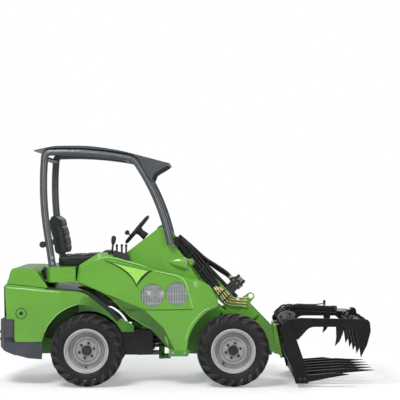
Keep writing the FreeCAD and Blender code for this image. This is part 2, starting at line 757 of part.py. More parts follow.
def make_boom_outer():
    body = boom_body("boom_outer")
    start, end = dim.outer_start, dim.outer_end
    pad(body, "XZ", -outer_half, outer_half, [
        (-48, -30, 20), (-48, 30, 20), (start, outer_high), (end, outer_high), (end, outer_low),
        (start, outer_low)])
    wall = dim.outer_wall
    pocket(body, "XZ", wall - outer_half, outer_half - wall, [
        (start + 120, outer_low + wall), (end + 1, outer_low + wall),
        (end + 1, outer_high - wall), (start + 120, outer_high - wall)])
    bore(body, "XZ", -outer_half - 1, outer_half + 1,
         (0, 0, dim.boom_pin_dia / 2 + dim.running_gap))
    cheek = pad(body, "XZ", outer_half, outer_half + 12, [
        (end - 129, -90), (end - 140, -148, 10), (end - 60, -140, 20), (end, -60), (end, 100, 20),
        (end - 129, 115, 20)])
    mirror_y(body, [cheek])
    slot = dim.fin_thick / 2 + 7
    pocket(body, "XZ", -slot, slot, [
        (end - 220, outer_high - wall - 2), (end + 1, outer_high - wall - 2),
        (end + 1, outer_high + 2), (end - 220, outer_high + 2)])
    pocket(body, "XZ", -30, 30, [
        (end - 110, outer_low - 1), (end + 1, outer_low - 1),
        (end + 1, outer_low + wall + 1), (end - 110, outer_low + wall + 1)])
    ex, ez = dim.lift_eye_x, dim.lift_eye_z
    inside = dim.lift_barrel_dia / 2 + 5
    lug = pad(body, "XZ", inside, inside + 14, [
        (ex - 40, outer_low), (ex - 36, ez - 36, 30), (ex + 36, ez - 36, 30), (ex + 60, outer_low)])
    mirror_y(body, [lug])
    rod(body, "XZ", inside * -1, inside, (ex, ez, dim.pin_dia / 2))


def make_boom_inner():
    body = boom_body("boom_inner")
    half, low, high = dim.inner_half, -dim.inner_low, dim.inner_high
    wall = dim.inner_wall
    reach = dim.boom_reach
    pad(body, "XZ", -half, half, [
        (300, low), (reach - 90, low), (reach - 90, high), (300, high)])
    pocket(body, "XZ", wall - half, half - wall, [
        (299, low + wall), (reach - 89, low + wall), (reach - 89, high - wall), (299, high - wall)])
    head = pad(body, "XZ", half, half + dim.head_plate, [
        (reach - 216, -65), (reach + 6, -56, 20), (reach + 42, 0, 40), (reach, 52, 30),
        (reach - 60, 112, 40), (reach - 216, 112, 30)])
    mirror_y(body, [head])
    pin_end = cheek_in + dim.cheek_thick + 2
    rod(body, "XZ", pin_end * -1, pin_end, (reach, 0, dim.eye_dia / 2))
    rod(body, "XZ", wall - half, half - wall,
        (dim.tilt_foot_x, dim.tilt_foot_z, dim.pin_dia / 2))
    pocket(body, "XZ", wall - half, half - wall, [
        (905, low - 1), (reach, low - 1), (reach, low + wall + 1), (905, low + wall + 1)])
    shoe = pad(body, "XZ", half, half + dim.slide_gap - dim.seat_gap, box(305, 345, -35, 25))
    mirror_y(body, [shoe])
    for z in (low - dim.slide_gap + dim.seat_gap, high):
        pad(body, "XZ", -30, 30, box(305, 345, z, z + dim.slide_gap - dim.seat_gap))
    fin = dim.fin_thick / 2
    pad(body, "XZ", -fin, fin, [
        (850, high), (reach - 104, high), (reach - 165, dim.fin_height), (940, dim.fin_height),
        (930, 184, 30), (875, 184, 30)])
    bore(body, "XZ", -fin - 1, fin + 1, (902, 156, 20))


def make_boom_services():
    """Steel pipes and the valve block with its couplings on the boom's side."""
    pipes = boom_body("boom_pipes")
    y = -outer_half - 19 - dim.seat_gap
    for z in (20, -20):
        pipe(pipes, "XZ", -y, [
            (640, z), (880, z, 60), (1040, z + 60)], 7)
    block = boom_body("valve_block")
    pad(block, "XZ", -54, 54, box(690, 790, 118, 172))
    post = pad(block, "XZ", 46, 54, [(700, outer_high), (780, outer_high), (780, 118), (700, 118)])
    mirror_y(block, [post])
    for x in (710, 740, 770):
        rod(block, "XY", 172, 200, (x, -30, 12), (x, 10, 12))


def make_hose_loop():
    """The sleeved hoses that loop back on top of the boom and feed its inner tube."""
    body = boom_body("hose_loop")
    pipe(body, "XY", outer_high + 16 + dim.seat_gap, [
        (830, -24), (330, -24, 23), (330, 24, 23), (820, 24)], 16)


def cylinder_pair(name, foot, tip, barrel_dia, rod_dia, gland, piston, eye_width):
    """A hydraulic cylinder: the barrel's eye at foot, its rod's eye at tip."""
    dx, dz = tip[0] - foot[0], tip[1] - foot[1]
    reach = length_of(dx, dz)
    turn = heading_of(dx, dz)
    barrel = new_body(f"{name}_barrel", foot[0], foot[1], turn)
    shell = barrel_dia / 2
    bar = rod_dia / 2
    turned_x(barrel, [
        (22, 0), (22, shell), (gland - 26, shell), (gland - 24, shell + 3), (gland, shell + 3),
        (gland, bar + dim.running_gap), (gland - 30, bar + dim.running_gap),
        (gland - 30, shell - 6), (44, shell - 6), (44, 0)])
    rod(barrel, "XZ", -eye_width / 2, eye_width / 2, (0, 0, 25))
    bore(barrel, "XZ", -eye_width, eye_width, (0, 0, dim.pin_dia / 2 + dim.running_gap))
    shaft = new_body(f"{name}_rod", foot[0], foot[1], turn)
    turned_x(shaft, [
        (piston, 0), (piston, shell - 6 - dim.running_gap),
        (piston + 24, shell - 6 - dim.running_gap), (piston + 24, bar), (reach - 15, bar),
        (reach - 15, 0)])
    rod(shaft, "XZ", -eye_width / 2, eye_width / 2, (reach, 0, bar + 8))


# ------------------------------------------------------------------- attachment

def make_tilt_crank():
    """The two crank plates on the tip's hinge pin, turned by the tilt cylinder."""
    body = new_body("tilt_crank")
    hub = rod(body, "XZ", 18, 26, (tool_x, tool_z, 26))
    lug_x, lug_z = tilt_lug
    plate = pad(body, "XZ", 19, 25, [
        (tool_x - 18, tool_z + 4), (tool_x + 18, tool_z + 4), (lug_x + 14, lug_z),
        (lug_x + 12, lug_z - 15, 10), (lug_x - 12, lug_z - 15, 10), (lug_x - 14, lug_z)])
    mirror_y(body, [hub, plate])
    bore(body, "XZ", -30, 30, (tool_x, tool_z, dim.eye_dia / 2 + dim.running_gap))


def make_coupler():
    """Quick-hitch plate with a window where the boom's head plates swing past."""
    body = new_body("coupler")
    near, far = cheek_in, cheek_in + dim.cheek_thick
    cheek = pad(body, "XZ", near, far, [
        (tool_x - 34, tool_z - 26, 24), (tool_x - 34, tool_z + 26, 24), (tool_x - 4, 420, 30),
        (940, 430), (984, 210), (tool_x + 40, 220, 20)])
    mirror_y(body, [cheek])
    pad(body, "XZ", -200, 200, [(985, 198), (1000, 202), (945, 470), (930, 466)])
    pocket(body, "XZ", near * -1, near, box(900, 1010, 222, 500))
    rib = pad(body, "XZ", 188, 200, [(985, 198), (940, 300), (928, 420), (930, 466)])
    mirror_y(body, [rib])
    bore(body, "XZ", far * -1 - 1, far + 1, (tool_x, tool_z, dim.eye_dia / 2 + dim.running_gap))


def make_fork():
    body = new_body("fork_frame")
    half = dim.tool_width / 2
    leg = pad(body, "XZ", half - dim.tool_plate, half, [
        (951, 472, 30), (1019, 280), (1076, 53), (1082, 35), (1182, 35), (1182, 60), (1147, 217),
        (1090, 380), (1062, 520, 50), (1000, 530, 40)])
    mirror_y(body, [leg])
    inside = half - dim.tool_plate
    rod(body, "XZ", -inside, inside, (dim.jaw_hinge_x, dim.jaw_hinge_z, dim.jaw_pin_dia / 2))
    pad(body, "XZ", -inside, inside, box(1090, 1176, 40, 110))
    pad(body, "XZ", -inside, inside, [(1090, 90), (1104, 90), (1002, 340), (978, 340), (984, 300)])
    pad(body, "XZ", -200, 200, [
        (1000.4, 202.1), (1012.1, 204.5), (957.1, 472.5), (945.4, 470.1)])
    pad(body, "XZ", -200, 200, [(952, 455), (966, 455), (1026, 480), (1020, 492), (956, 468)])
    pocket(body, "XZ", cheek_in * -1, cheek_in, box(930, 985, 222, 500))
    ear = pad(body, "XZ", 32, 44, [
        (1000, 460), (1070, 450), (dim.clamp_foot_x + 30, dim.clamp_foot_z + 24, 20),
        (dim.clamp_foot_x - 30, dim.clamp_foot_z + 24, 20)])
    mirror_y(body, [ear])
    rod(body, "XZ", -32, 32, (dim.clamp_foot_x, dim.clamp_foot_z, dim.pin_dia / 2))
    for step in (-2, -1, 0, 1, 2):
        y = step * dim.tine_pitch
        wide = dim.tine_width / 2
        pad(body, "XZ", y - wide, y + wide, [
            (1170, 40), (1176, 108), (1500, 130), (dim.tine_tip_x, dim.tine_tip_z),
            (1500, 96), (1180, 45)])
    short = pad(body, "XZ", half - 42, half - 12, [
        (1170, 40), (1176, 100), (1400, 118), (1510, 104), (1400, 88), (1180, 45)])
    mirror_y(body, [short])


def make_jaw():
    """Upper jaw: two cranked side arms, a cross tube and the curved claws."""
    body = new_body("grapple_jaw")
    hx, hz = dim.jaw_hinge_x, dim.jaw_hinge_z
    plate = dim.tool_plate
    half = dim.tool_width / 2 - plate - 6
    arm = pad(body, "XZ", half - plate, half, [
        (hx - 40, hz - 24, 30), (hx - 26, hz + 44, 40), (1120, 556, 60), (1672, 545, 40),
        (1682, 450, 90), (1652, 340, 200), (1602, 241), (1588, 340, 200), (1560, 440, 60),
        (1510, 484, 20), (1195, 484, 90), (1100, 380), (1052, 410, 20)])
    mirror_y(body, [arm])
    bore(body, "XZ", -half - 1, half + 1, (hx, hz, dim.jaw_pin_dia / 2 + dim.running_gap))
    rod(body, "XZ", plate - half, half - plate, (1590, 505, 38))
    mid = pad(body, "XZ", half - 2 * plate, half - plate, [
        (1404, 540), (1466, 540), (1464, 440, 60), (1436, 370, 60), (1398, 330), (1408, 400, 60)])
    mirror_y(body, [mid])
    for y in (-235, 0, 235):
        pad(body, "XZ", y - 12, y + 12, [
            (1545, 520), (1560, 545, 20), (1672, 545, 40), (1682, 450, 90), (1652, 340, 200),
            (1602, 241), (1588, 340, 200), (1562, 440, 60)])
    ear = pad(body, "XZ", 32, 44, [
        (1560, 520), (1630, 520), (dim.clamp_eye_x + 22, dim.clamp_eye_z + 22, 18),
        (dim.clamp_eye_x - 22, dim.clamp_eye_z + 22, 18)])
    mirror_y(body, [ear])


make_front_frame()
make_front_cowl()
make_side_cover("side_cover_left", 1)
make_side_cover("side_cover_right", -1)
make_vents()
make_floor_pan()
make_seat_platform()
make_seat()
make_canopy()
make_steering()
make_console()
make_lamps()
make_rear_frame()
make_engine()
make_rear_body()
make_hood()
make_counterweight()
make_side_boxes()
make_tow_hitch()
make_boom_outer()
make_boom_inner()
make_boom_services()
make_hose_loop()
cylinder_pair("lift_cylinder", lift_eye, (dim.lift_foot_x, dim.lift_foot_z),
              dim.lift_barrel_dia, dim.lift_rod_dia, 600, 60, 50)
cylinder_pair("tilt_cylinder", tilt_foot, tilt_lug, dim.tilt_barrel_dia, dim.tilt_rod_dia,
              290, 190, 34)
cylinder_pair("clamp_cylinder", (dim.clamp_foot_x, dim.clamp_foot_z),
              (dim.clamp_eye_x, dim.clamp_eye_z), dim.clamp_barrel_dia, dim.clamp_rod_dia,
              370, 130, 40)
make_tilt_crank()
make_coupler()
make_fork()
make_jaw()

# ----------------------------------------------------------------- build and save

doc.recompute()
failed = [item.Name for item in doc.Objects if {"Invalid", "Error"} & set(item.State)]
if failed:
    raise RuntimeError(f"failed to build: {failed}")
for part in sub_parts:
    if part.Shape.isNull() or not part.Shape.isValid():
        raise RuntimeError(f"{part.Label} has no valid shape")
for part in sub_parts:
    part.Shape.exportStep(f"parts/{part.Label}.step")
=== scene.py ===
import json
import math

import bmesh
import bpy
import numpy as np
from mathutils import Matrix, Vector


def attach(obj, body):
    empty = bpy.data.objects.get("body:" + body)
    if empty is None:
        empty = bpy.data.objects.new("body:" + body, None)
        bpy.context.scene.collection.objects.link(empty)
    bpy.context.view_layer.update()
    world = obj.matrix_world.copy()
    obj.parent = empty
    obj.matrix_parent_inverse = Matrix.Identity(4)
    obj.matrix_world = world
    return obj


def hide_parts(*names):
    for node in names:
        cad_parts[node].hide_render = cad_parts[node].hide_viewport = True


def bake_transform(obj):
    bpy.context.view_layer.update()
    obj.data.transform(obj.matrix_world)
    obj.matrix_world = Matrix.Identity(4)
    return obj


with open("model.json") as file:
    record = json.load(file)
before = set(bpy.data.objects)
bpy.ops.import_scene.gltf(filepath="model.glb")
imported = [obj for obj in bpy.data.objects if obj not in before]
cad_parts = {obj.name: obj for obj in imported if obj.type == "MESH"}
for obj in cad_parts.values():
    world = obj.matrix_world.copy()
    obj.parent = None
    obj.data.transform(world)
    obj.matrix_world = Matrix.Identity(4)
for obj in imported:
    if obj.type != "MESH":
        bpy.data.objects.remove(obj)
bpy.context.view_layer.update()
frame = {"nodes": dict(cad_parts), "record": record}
SHIFT = -0.1875                     # the centre pivot's X in the row frame, in m
AXLE_X = 586                        # mm from the centre pivot to each axle
AXLE_Z = 292.5
WHEEL_Y = 430                       # mm from the middle to each wheel's centre
COVER_Y = 450                       # outer face of the front side covers
REAR_Y = 420                        # outer face of the rear body
BOOM_PIVOT = (10, 1239)
FALL = math.radians(46.3)           # the lowered boom's angle below level
HANDS = ((1, "left"), (-1, "right"))


def at(x, z, y=0.0):
    """A point given in mm from the centre pivot, in the row frame."""
    return Vector((x / 1000 + SHIFT, y / 1000, z / 1000))


def on_boom(x, z, y=0.0):
    """A point along and square to the lowered boom, in mm from its pivot."""
    return at(BOOM_PIVOT[0] + x * math.cos(FALL) + z * math.sin(FALL),
              BOOM_PIVOT[1] - x * math.sin(FALL) + z * math.cos(FALL), y)


def on_circle(x, z, radius, turn):
    """A point in mm at a turn in radians on a circle in the side view."""
    return x + radius * math.cos(turn), z + radius * math.sin(turn)


# ------------ materials

WHITE = (1, 1, 1, 1)


def put(node, **values):
    """Set inputs of a shader node; an underscore stands for a space in an input's name."""
    for name, value in values.items():
        node.inputs[name.replace("_", " ")].default_value = value


def nodes_of(name):
    """A new material, its nodes, its links and its main shader."""
    mat = bpy.data.materials.new(name)
    mat.use_nodes = True
    tree = mat.node_tree
    return mat, tree.nodes, tree.links, tree.nodes["Principled BSDF"]


def noise(nodes, links, scale, detail=4.0, rough=0.55, stretch=None):
    """Noise in the piece's own coordinates, stretched if asked."""
    coord = nodes.new("ShaderNodeTexCoord")
    tex = nodes.new("ShaderNodeTexNoise")
    put(tex, Scale=scale, Detail=detail, Roughness=rough)
    place = coord.outputs["Object"]
    if stretch:
        mapping = nodes.new("ShaderNodeMapping")
        put(mapping, Scale=stretch)
        links.new(place, mapping.inputs["Vector"])
        place = mapping.outputs["Vector"]
    links.new(place, tex.inputs["Vector"])
    return tex.outputs["Fac"]


def ramp(nodes, links, fac, stops):
    """A colour that runs through (position, colour) stops as fac grows."""
    node = nodes.new("ShaderNodeValToRGB")
    elements = node.color_ramp.elements
    while len(elements) < len(stops):
        elements.new(0.5)
    for element, (position, colour) in zip(elements, stops):
        element.position = position
        element.color = (*colour, 1)
    links.new(fac, node.inputs["Fac"])
    return node.outputs["Color"]


def scaled(nodes, links, fac, low, high, start=0.3, stop=0.7):
    """A value that runs from low to high while fac runs from start to stop."""
    node = nodes.new("ShaderNodeMapRange")
    put(node, From_Min=start, From_Max=stop, To_Min=low, To_Max=high)
    links.new(fac, node.inputs["Value"])
    return node.outputs["Result"]


def mixed(nodes, links, fac, a, b):
    """A colour between a and b, each a colour or a node's output."""
    node = nodes.new("ShaderNodeMix")
    node.data_type = "RGBA"
    links.new(fac, node.inputs["Factor"])
    for socket, value in ((node.inputs["A"], a), (node.inputs["B"], b)):
        if isinstance(value, tuple):
            socket.default_value = (*value, 1)
        else:
            links.new(value, socket)
    return node.outputs["Result"]


def bump(nodes, links, shader, height, distance):
    """Fine relief on a shader, its depth in metres."""
    node = nodes.new("ShaderNodeBump")
    put(node, Strength=0.5, Distance=distance)
    links.new(height, node.inputs["Height"])
    links.new(node.outputs["Normal"], shader.inputs["Normal"])


def tint(colour, k):
    """A colour made lighter or darker by a factor."""
    return tuple(min(1.0, c * k) for c in colour)


def finish_mat(name, colour, rough, metallic=0.0, cloud=6.0, spread=0.08, grain=400.0,
               depth=0.0002, coat=0.0, dust=None, stretch=None, shine=0.5):
    """Paint, metal, rubber or plastic: cloudy tone, fine relief, uneven gloss and dust.

    dust is its colour and its amount; depth is the relief's in metres."""
    mat, nodes, links, shader = nodes_of(name)
    tone = noise(nodes, links, cloud, 5.0)
    base = ramp(nodes, links, tone, [(0.3, tint(colour, 1 - spread)),
                                     (0.7, tint(colour, 1 + spread))])
    if dust:
        patches = noise(nodes, links, 9.0, 8.0, 0.7)
        fac = scaled(nodes, links, patches, 0.0, dust[3], 0.42, 0.72)
        base = mixed(nodes, links, fac, base, dust[:3])
    links.new(base, shader.inputs["Base Color"])
    fine = noise(nodes, links, grain, 3.0, 0.6, stretch)
    links.new(scaled(nodes, links, tone, max(0.05, rough - 0.06), min(1.0, rough + 0.08)),
              shader.inputs["Roughness"])
    bump(nodes, links, shader, fine, depth)
    put(shader, Metallic=metallic, Specular_IOR_Level=shine, Coat_Weight=coat,
        Coat_Roughness=0.12)
    return mat


def fade_mat(name, stops, axis, low, high, rough):
    """Painted shade: paint whose tone changes along one axis, as shade falls inside an arch or on a
    bevel, with random darker patches.
    """
    mat, nodes, links, shader = nodes_of(name)
    coord = nodes.new("ShaderNodeTexCoord")
    split = nodes.new("ShaderNodeSeparateXYZ")
    links.new(coord.outputs["Object"], split.inputs["Vector"])
    along = scaled(nodes, links, split.outputs[axis], 0.0, 1.0, low, high)
    patches = scaled(nodes, links, noise(nodes, links, 11.0, 7.0, 0.65), 0.0, 0.45)
    base = mixed(nodes, links, patches, ramp(nodes, links, along, stops), (0.035, 0.07, 0.02))
    links.new(base, shader.inputs["Base Color"])
    fine = noise(nodes, links, 240.0, 3.0, 0.6)
    links.new(scaled(nodes, links, fine, rough - 0.08, rough + 0.1), shader.inputs["Roughness"])
    bump(nodes, links, shader, fine, 0.0003)
    return mat


GREEN = (0.132, 0.385, 0.03)
FINISHES = {
    # the colour, the roughness and what else differs from a plain finish
    "green_paint": (GREEN, 0.3, dict(cloud=3, spread=0.06, grain=260, depth=0.00012, coat=0.5,
        dust=(0.17, 0.37, 0.06, 0.2))),
    "green_paint_dark": ((0.075, 0.30, 0.03), 0.45, dict(cloud=5, spread=0.12, grain=200,
        dust=(0.12, 0.17, 0.07, 0.5))),
    "grey_paint": ((0.06, 0.068, 0.076), 0.34, dict(spread=0.1, grain=500, coat=0.35,
        dust=(0.11, 0.115, 0.12, 0.35))),
    "weight_paint": ((0.05, 0.054, 0.07), 0.5, dict(spread=0.12, grain=180, depth=0.0006,
        dust=(0.14, 0.13, 0.12, 0.4))),
    "tool_paint": ((0.0062, 0.0058, 0.0052), 0.4, dict(cloud=8, spread=0.35, grain=150,
        depth=0.0003, coat=0.05, dust=(0.026, 0.023, 0.019, 0.4), shine=0.22)),
    "tyre": ((0.0085, 0.0085, 0.0085), 0.62, dict(cloud=12, spread=0.35, grain=350, depth=0.0004,
        dust=(0.035, 0.032, 0.029, 0.4), shine=0.4)),
    "rim_silver": ((0.64, 0.64, 0.63), 0.34, dict(metallic=0.4, cloud=10, spread=0.06, grain=420,
        depth=0.0001, dust=(0.4, 0.38, 0.34, 0.35))),
    "black_plastic": ((0.018, 0.018, 0.02), 0.55, dict(grain=700, depth=0.0003, spread=0.2,
        dust=(0.06, 0.058, 0.055, 0.35))),
    "seat_vinyl": ((0.016, 0.016, 0.018), 0.48, dict(grain=520, depth=0.0006, spread=0.2,
        dust=(0.05, 0.05, 0.05, 0.2))),
    "rod_chrome": ((0.78, 0.78, 0.8), 0.12, dict(metallic=1.0, grain=600, depth=0.00003,
        spread=0.03, stretch=(1, 1, 12))),
    "pipe_zinc": ((0.86, 0.72, 0.36), 0.26, dict(metallic=0.75, cloud=40, spread=0.16, grain=500,
        depth=0.00008)),
    "hose_rubber": ((0.012, 0.0115, 0.012), 0.42, dict(cloud=30, spread=0.3, grain=900,
        depth=0.0004)),
    "vent_aluminium": ((0.52, 0.53, 0.54), 0.38, dict(metallic=0.6, cloud=20, spread=0.08,
        grain=700, depth=0.0001)),
    "lamp_glass": ((0.75, 0.77, 0.76), 0.12, dict(metallic=0.2, cloud=30, spread=0.1, grain=250,
        depth=0.0005, coat=0.6)),
    "black_iron": ((0.022, 0.022, 0.024), 0.55, dict(cloud=14, spread=0.3, grain=220, depth=0.0006,
        dust=(0.07, 0.06, 0.05, 0.5))),
    "accent_green": ((0.36, 0.72, 0.10), 0.35, dict(cloud=4, spread=0.05, grain=260, depth=0.00012,
        coat=0.3)),
    "worn_steel": ((0.2, 0.2, 0.205), 0.36, dict(metallic=0.5, cloud=26, spread=0.5, grain=120,
        depth=0.0006, dust=(0.05, 0.045, 0.04, 0.7))),
    # painted shade: darker than the green paint, for creases and recesses
    "green_painted_shade": ((0.03, 0.11, 0.012), 0.45, dict(cloud=10, spread=0.2, grain=200, depth=0.0003)),
    # painted highlight: a light grey line along the canopy tubes
    "grey_painted_highlight": ((0.42, 0.44, 0.46), 0.35, dict(metallic=0.3, cloud=18, spread=0.25, grain=300)),
    # painted highlight: lighter than the green paint, for ridges and edge lines
    "green_painted_highlight": ((0.30, 0.60, 0.17), 0.25, dict(cloud=5, spread=0.06, grain=260, depth=0.0001,
        coat=0.4)),
    # painted shade: darker than rim_silver, for the recessed dish; its dust is dirt
    "rim_dish": ((0.44, 0.44, 0.43), 0.38, dict(metallic=0.35, cloud=14, spread=0.14, grain=420,
        depth=0.00015, dust=(0.2, 0.18, 0.15, 0.5))),
    # painted highlight: lighter than the tyre's rubber, for the lugs; its dust is dirt
    "tyre_lug": ((0.014, 0.0138, 0.0135), 0.5, dict(cloud=18, spread=0.35, grain=300, depth=0.0004,
        dust=(0.05, 0.046, 0.042, 0.4))),
    "rim_shadow": ((0.1, 0.1, 0.098), 0.5, dict(metallic=0.3, cloud=30, spread=0.25, grain=300)),
    "seam_black": ((0.012, 0.02, 0.01), 0.6, dict(cloud=20, spread=0.25, grain=500)),
    "zinc_grey": ((0.42, 0.42, 0.41), 0.35, dict(metallic=0.8, cloud=60, spread=0.12, grain=700,
        depth=0.0001)),
    "tail_red": ((0.42, 0.02, 0.015), 0.2, dict(cloud=60, spread=0.15, grain=160, depth=0.0006,
        coat=0.5)),
}
FADES = {
    # painted shade as tones along an axis, the axis, where they start and stop in m, the roughness
    # painted shade on the fender beside the rear arch
    "green_shade": (
        [(0.0, GREEN), (0.12, (0.085, 0.27, 0.02)), (0.35, (0.06, 0.205, 0.016)),
         (0.72, (0.09, 0.28, 0.022)), (1.0, (0.05, 0.18, 0.016))], "X", -0.842, -0.405, 0.42),
    # painted shadow along the rear arch, darkest at its rear
    "arch_fade": (
        [(0.0, (0.012, 0.04, 0.006)), (0.4, (0.03, 0.11, 0.012)), (1.0, (0.06, 0.205, 0.016))],
        "X", -0.845, -0.66, 0.5),
    # painted shade on a side cover's lower bevel
    "bevel_fade": (
        [(0.0, GREEN), (0.25, (0.07, 0.23, 0.018)), (1.0, (0.045, 0.16, 0.014))],
        "X", -0.62, -0.2, 0.45),
    # painted shade: near black at the bottom of the wheel well, green higher up
    "well_painted_shade": (
        [(0.0, (0.008, 0.012, 0.006)), (0.5, (0.02, 0.07, 0.01)), (1.0, (0.05, 0.18, 0.014))],
        "Z", 0.36, 0.66, 0.6),
}
M = {name: finish_mat(name, colour, rough, **more)
     for name, (colour, rough, more) in FINISHES.items()}
M.update((name, fade_mat(name, *fade)) for name, fade in FADES.items())
for entry in frame["record"]["subparts"]:
    node = frame["nodes"][entry["node"]]
    node.data.materials.clear()
    node.data.materials.append(M[entry["material_slot"]])


# ------------ stage and camera

FLOOR_LIFT = 0.3                    # brightness that the floor adds for the camera only
FADE_FROM_TO = (1.5, 2.9)           # distances in m between which the floor turns white


def soft_light(name, place, target, size, power):
    """A round lamp of a size in metres and a power in watts, aimed at a point."""
    data = bpy.data.lights.new(name, "AREA")
    data.shape = "DISK"
    data.size = size
    data.energy = power
    lamp = bpy.data.objects.new(name, data)
    lamp.location = place
    lamp.rotation_euler = (Vector(target) - Vector(place)).to_track_quat("-Z", "Y").to_euler()
    bpy.context.collection.objects.link(lamp)


def emission(nodes):
    """A white light shader."""
    node = nodes.new("ShaderNodeEmission")
    put(node, Color=WHITE)
    return node


def floor_finish():
    """A pale floor that fades, to the camera only, to plain white away from the machine."""
    mat, nodes, links, shader = nodes_of("floor_white")
    tone = noise(nodes, links, 0.4, 2.0)
    links.new(ramp(nodes, links, tone, [(0.3, (0.84, 0.84, 0.845)), (0.7, (0.88, 0.88, 0.885))]),
              shader.inputs["Base Color"])
    put(shader, Roughness=0.6)
    seen = nodes.new("ShaderNodeLightPath").outputs["Is Camera Ray"]
    lift = emission(nodes)
    links.new(scaled(nodes, links, seen, 0.0, FLOOR_LIFT, 0.0, 1.0), lift.inputs["Strength"])
    lit = nodes.new("ShaderNodeAddShader")
    links.new(shader.outputs[0], lit.inputs[0])
    links.new(lift.outputs[0], lit.inputs[1])
    coord = nodes.new("ShaderNodeTexCoord")
    far = nodes.new("ShaderNodeVectorMath")
    far.operation = "LENGTH"
    links.new(coord.outputs["Object"], far.inputs[0])
    fade = nodes.new("ShaderNodeMath")
    fade.operation = "MULTIPLY"
    links.new(scaled(nodes, links, far.outputs["Value"], 0.0, 1.0, *FADE_FROM_TO), fade.inputs[0])
    links.new(seen, fade.inputs[1])
    mix = nodes.new("ShaderNodeMixShader")
    for socket, source in zip(mix.inputs, (fade, lit, emission(nodes))):
        links.new(source.outputs[0], socket)
    links.new(mix.outputs[0], nodes["Material Output"].inputs["Surface"])
    return mat


def make_floor():
    """The floor, which keeps the machine's shadow."""
    mesh = bpy.data.meshes.new("floor")
    mesh.from_pydata([(-9, -9, 0), (9, -9, 0), (9, 9, 0), (-9, 9, 0)], [], [(0, 1, 2, 3)])
    floor = bpy.data.objects.new("floor", mesh)
    bpy.context.collection.objects.link(floor)
    mesh.materials.append(floor_finish())


def make_world():
    """A soft, slightly blue surrounding that looks plain white to the camera."""
    world = bpy.data.worlds.new("studio")
    bpy.context.scene.world = world
    world.use_nodes = True
    nodes, links = world.node_tree.nodes, world.node_tree.links
    soft = nodes["Background"]
    put(soft, Color=(0.93, 0.96, 1.0, 1), Strength=0.38)
    white = nodes.new("ShaderNodeBackground")
    put(white, Color=WHITE, Strength=1.0)
    path = nodes.new("ShaderNodeLightPath")
    seen = nodes.new("ShaderNodeMath")
    seen.operation = "MAXIMUM"
    links.new(path.outputs["Is Camera Ray"], seen.inputs[0])
    links.new(path.outputs["Is Transmission Ray"], seen.inputs[1])
    mix = nodes.new("ShaderNodeMixShader")
    for socket, source in zip(mix.inputs, (seen, soft, white)):
        links.new(source.outputs[0], socket)
    links.new(mix.outputs[0], nodes["World Output"].inputs["Surface"])


def make_camera():
    """A long lens that looks square onto the machine's right side."""
    data = bpy.data.cameras.new("camera")
    data.sensor_width = 36
    data.lens = 108
    data.shift_y = 0.0175
    data.clip_end = 60
    camera = bpy.data.objects.new("camera", data)
    camera.location = (0.1325, -10.07, 1.44)
    camera.rotation_euler = (math.radians(90), 0, 0)
    bpy.context.collection.objects.link(camera)
    bpy.context.scene.camera = camera


make_floor()
make_world()
make_camera()
soft_light("key", (-2.2, -4.0, 5.8), (0, 0, 0.7), 2.4, 300)
soft_light("fill", (4.5, -5.0, 2.6), (0.2, 0, 0.8), 3.0, 80)
soft_light("back", (1.0, 5.0, 4.5), (0, 0, 1.0), 3.5, 120)
bpy.context.scene.view_settings.view_transform = "Standard"


# ------------ piece helpers

def add(name, verts, faces, look, body, smooth=35):
    """A new piece whose edges under smooth degrees are shaded round."""
    mesh = bpy.data.meshes.new(name)
    mesh.from_pydata([tuple(v) for v in verts], [], faces)
    piece = bpy.data.objects.new(name, mesh)
    bpy.context.collection.objects.link(piece)
    work = bmesh.new()
    work.from_mesh(mesh)
    bmesh.ops.recalc_face_normals(work, faces=work.faces)
    limit = math.radians(smooth)
    for face in work.faces:
        face.smooth = True
    for edge in work.edges:
        edge.smooth = edge.calc_face_angle(0.0) < limit
    work.to_mesh(mesh)
    work.free()
    mesh.materials.append(M[look])
    if body:
        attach(piece, body)
    return piece


def frame_of(axis):
    """Two directions square to an axis."""
    axis = Vector(axis).normalized()
    side = axis.cross(Vector((0, 0, 1)) if abs(axis.z) < 0.9 else Vector((1, 0, 0))).normalized()
    return axis, side, axis.cross(side).normalized()


def lathe(name, profile, centre, axis, look, body, segs=40, smooth=35, ring=False):
    """profile is (radius, height) in mm along the axis; a ring closes on itself."""
    axis, u, v = frame_of(axis)
    verts, faces = [], []
    for r, h in profile:
        for i in range(segs):
            a = 2 * math.pi * i / segs
            verts.append(centre + (u * math.cos(a) + v * math.sin(a)) * r / 1000 + axis * h / 1000)
    loops = len(profile)
    for k in range(loops if ring else loops - 1):
        low, high = k * segs, (k + 1) % loops * segs
        for i in range(segs):
            j = (i + 1) % segs
            faces.append((low + i, low + j, high + j, high + i))
    if not ring:
        faces.append(tuple(range(segs))[::-1])
        faces.append(tuple((loops - 1) * segs + i for i in range(segs)))
    return add(name, verts, faces, look, body, smooth)


def smooth_line(points, per=8):
    """A Catmull-Rom line through the points."""
    pts = [points[0] * 2 - points[1]] + list(points) + [points[-1] * 2 - points[-2]]
    out = []
    for i in range(1, len(pts) - 2):
        p0, p1, p2, p3 = pts[i - 1:i + 3]
        for k in range(per):
            t = k / per
            out.append(0.5 * (2 * p1 + (p2 - p0) * t + (2 * p0 - 5 * p1 + 4 * p2 - p3) * t * t
                              + (3 * p1 - p0 - 3 * p2 + p3) * t ** 3))
    out.append(pts[-2])
    return out


def heading(line, i):
    """The direction of a line at one of its points."""
    return (line[min(i + 1, len(line) - 1)] - line[max(i - 1, 0)]).normalized()


def flat_line(points, per=6):
    """A smooth (x, z) line in mm: its points and, for each, the way square to the line."""
    line = smooth_line([Vector((x, z, 0)) for x, z in points], per)
    ways = [heading(line, i) for i in range(len(line))]
    return line, [Vector((-way.y, way.x, 0)) for way in ways]


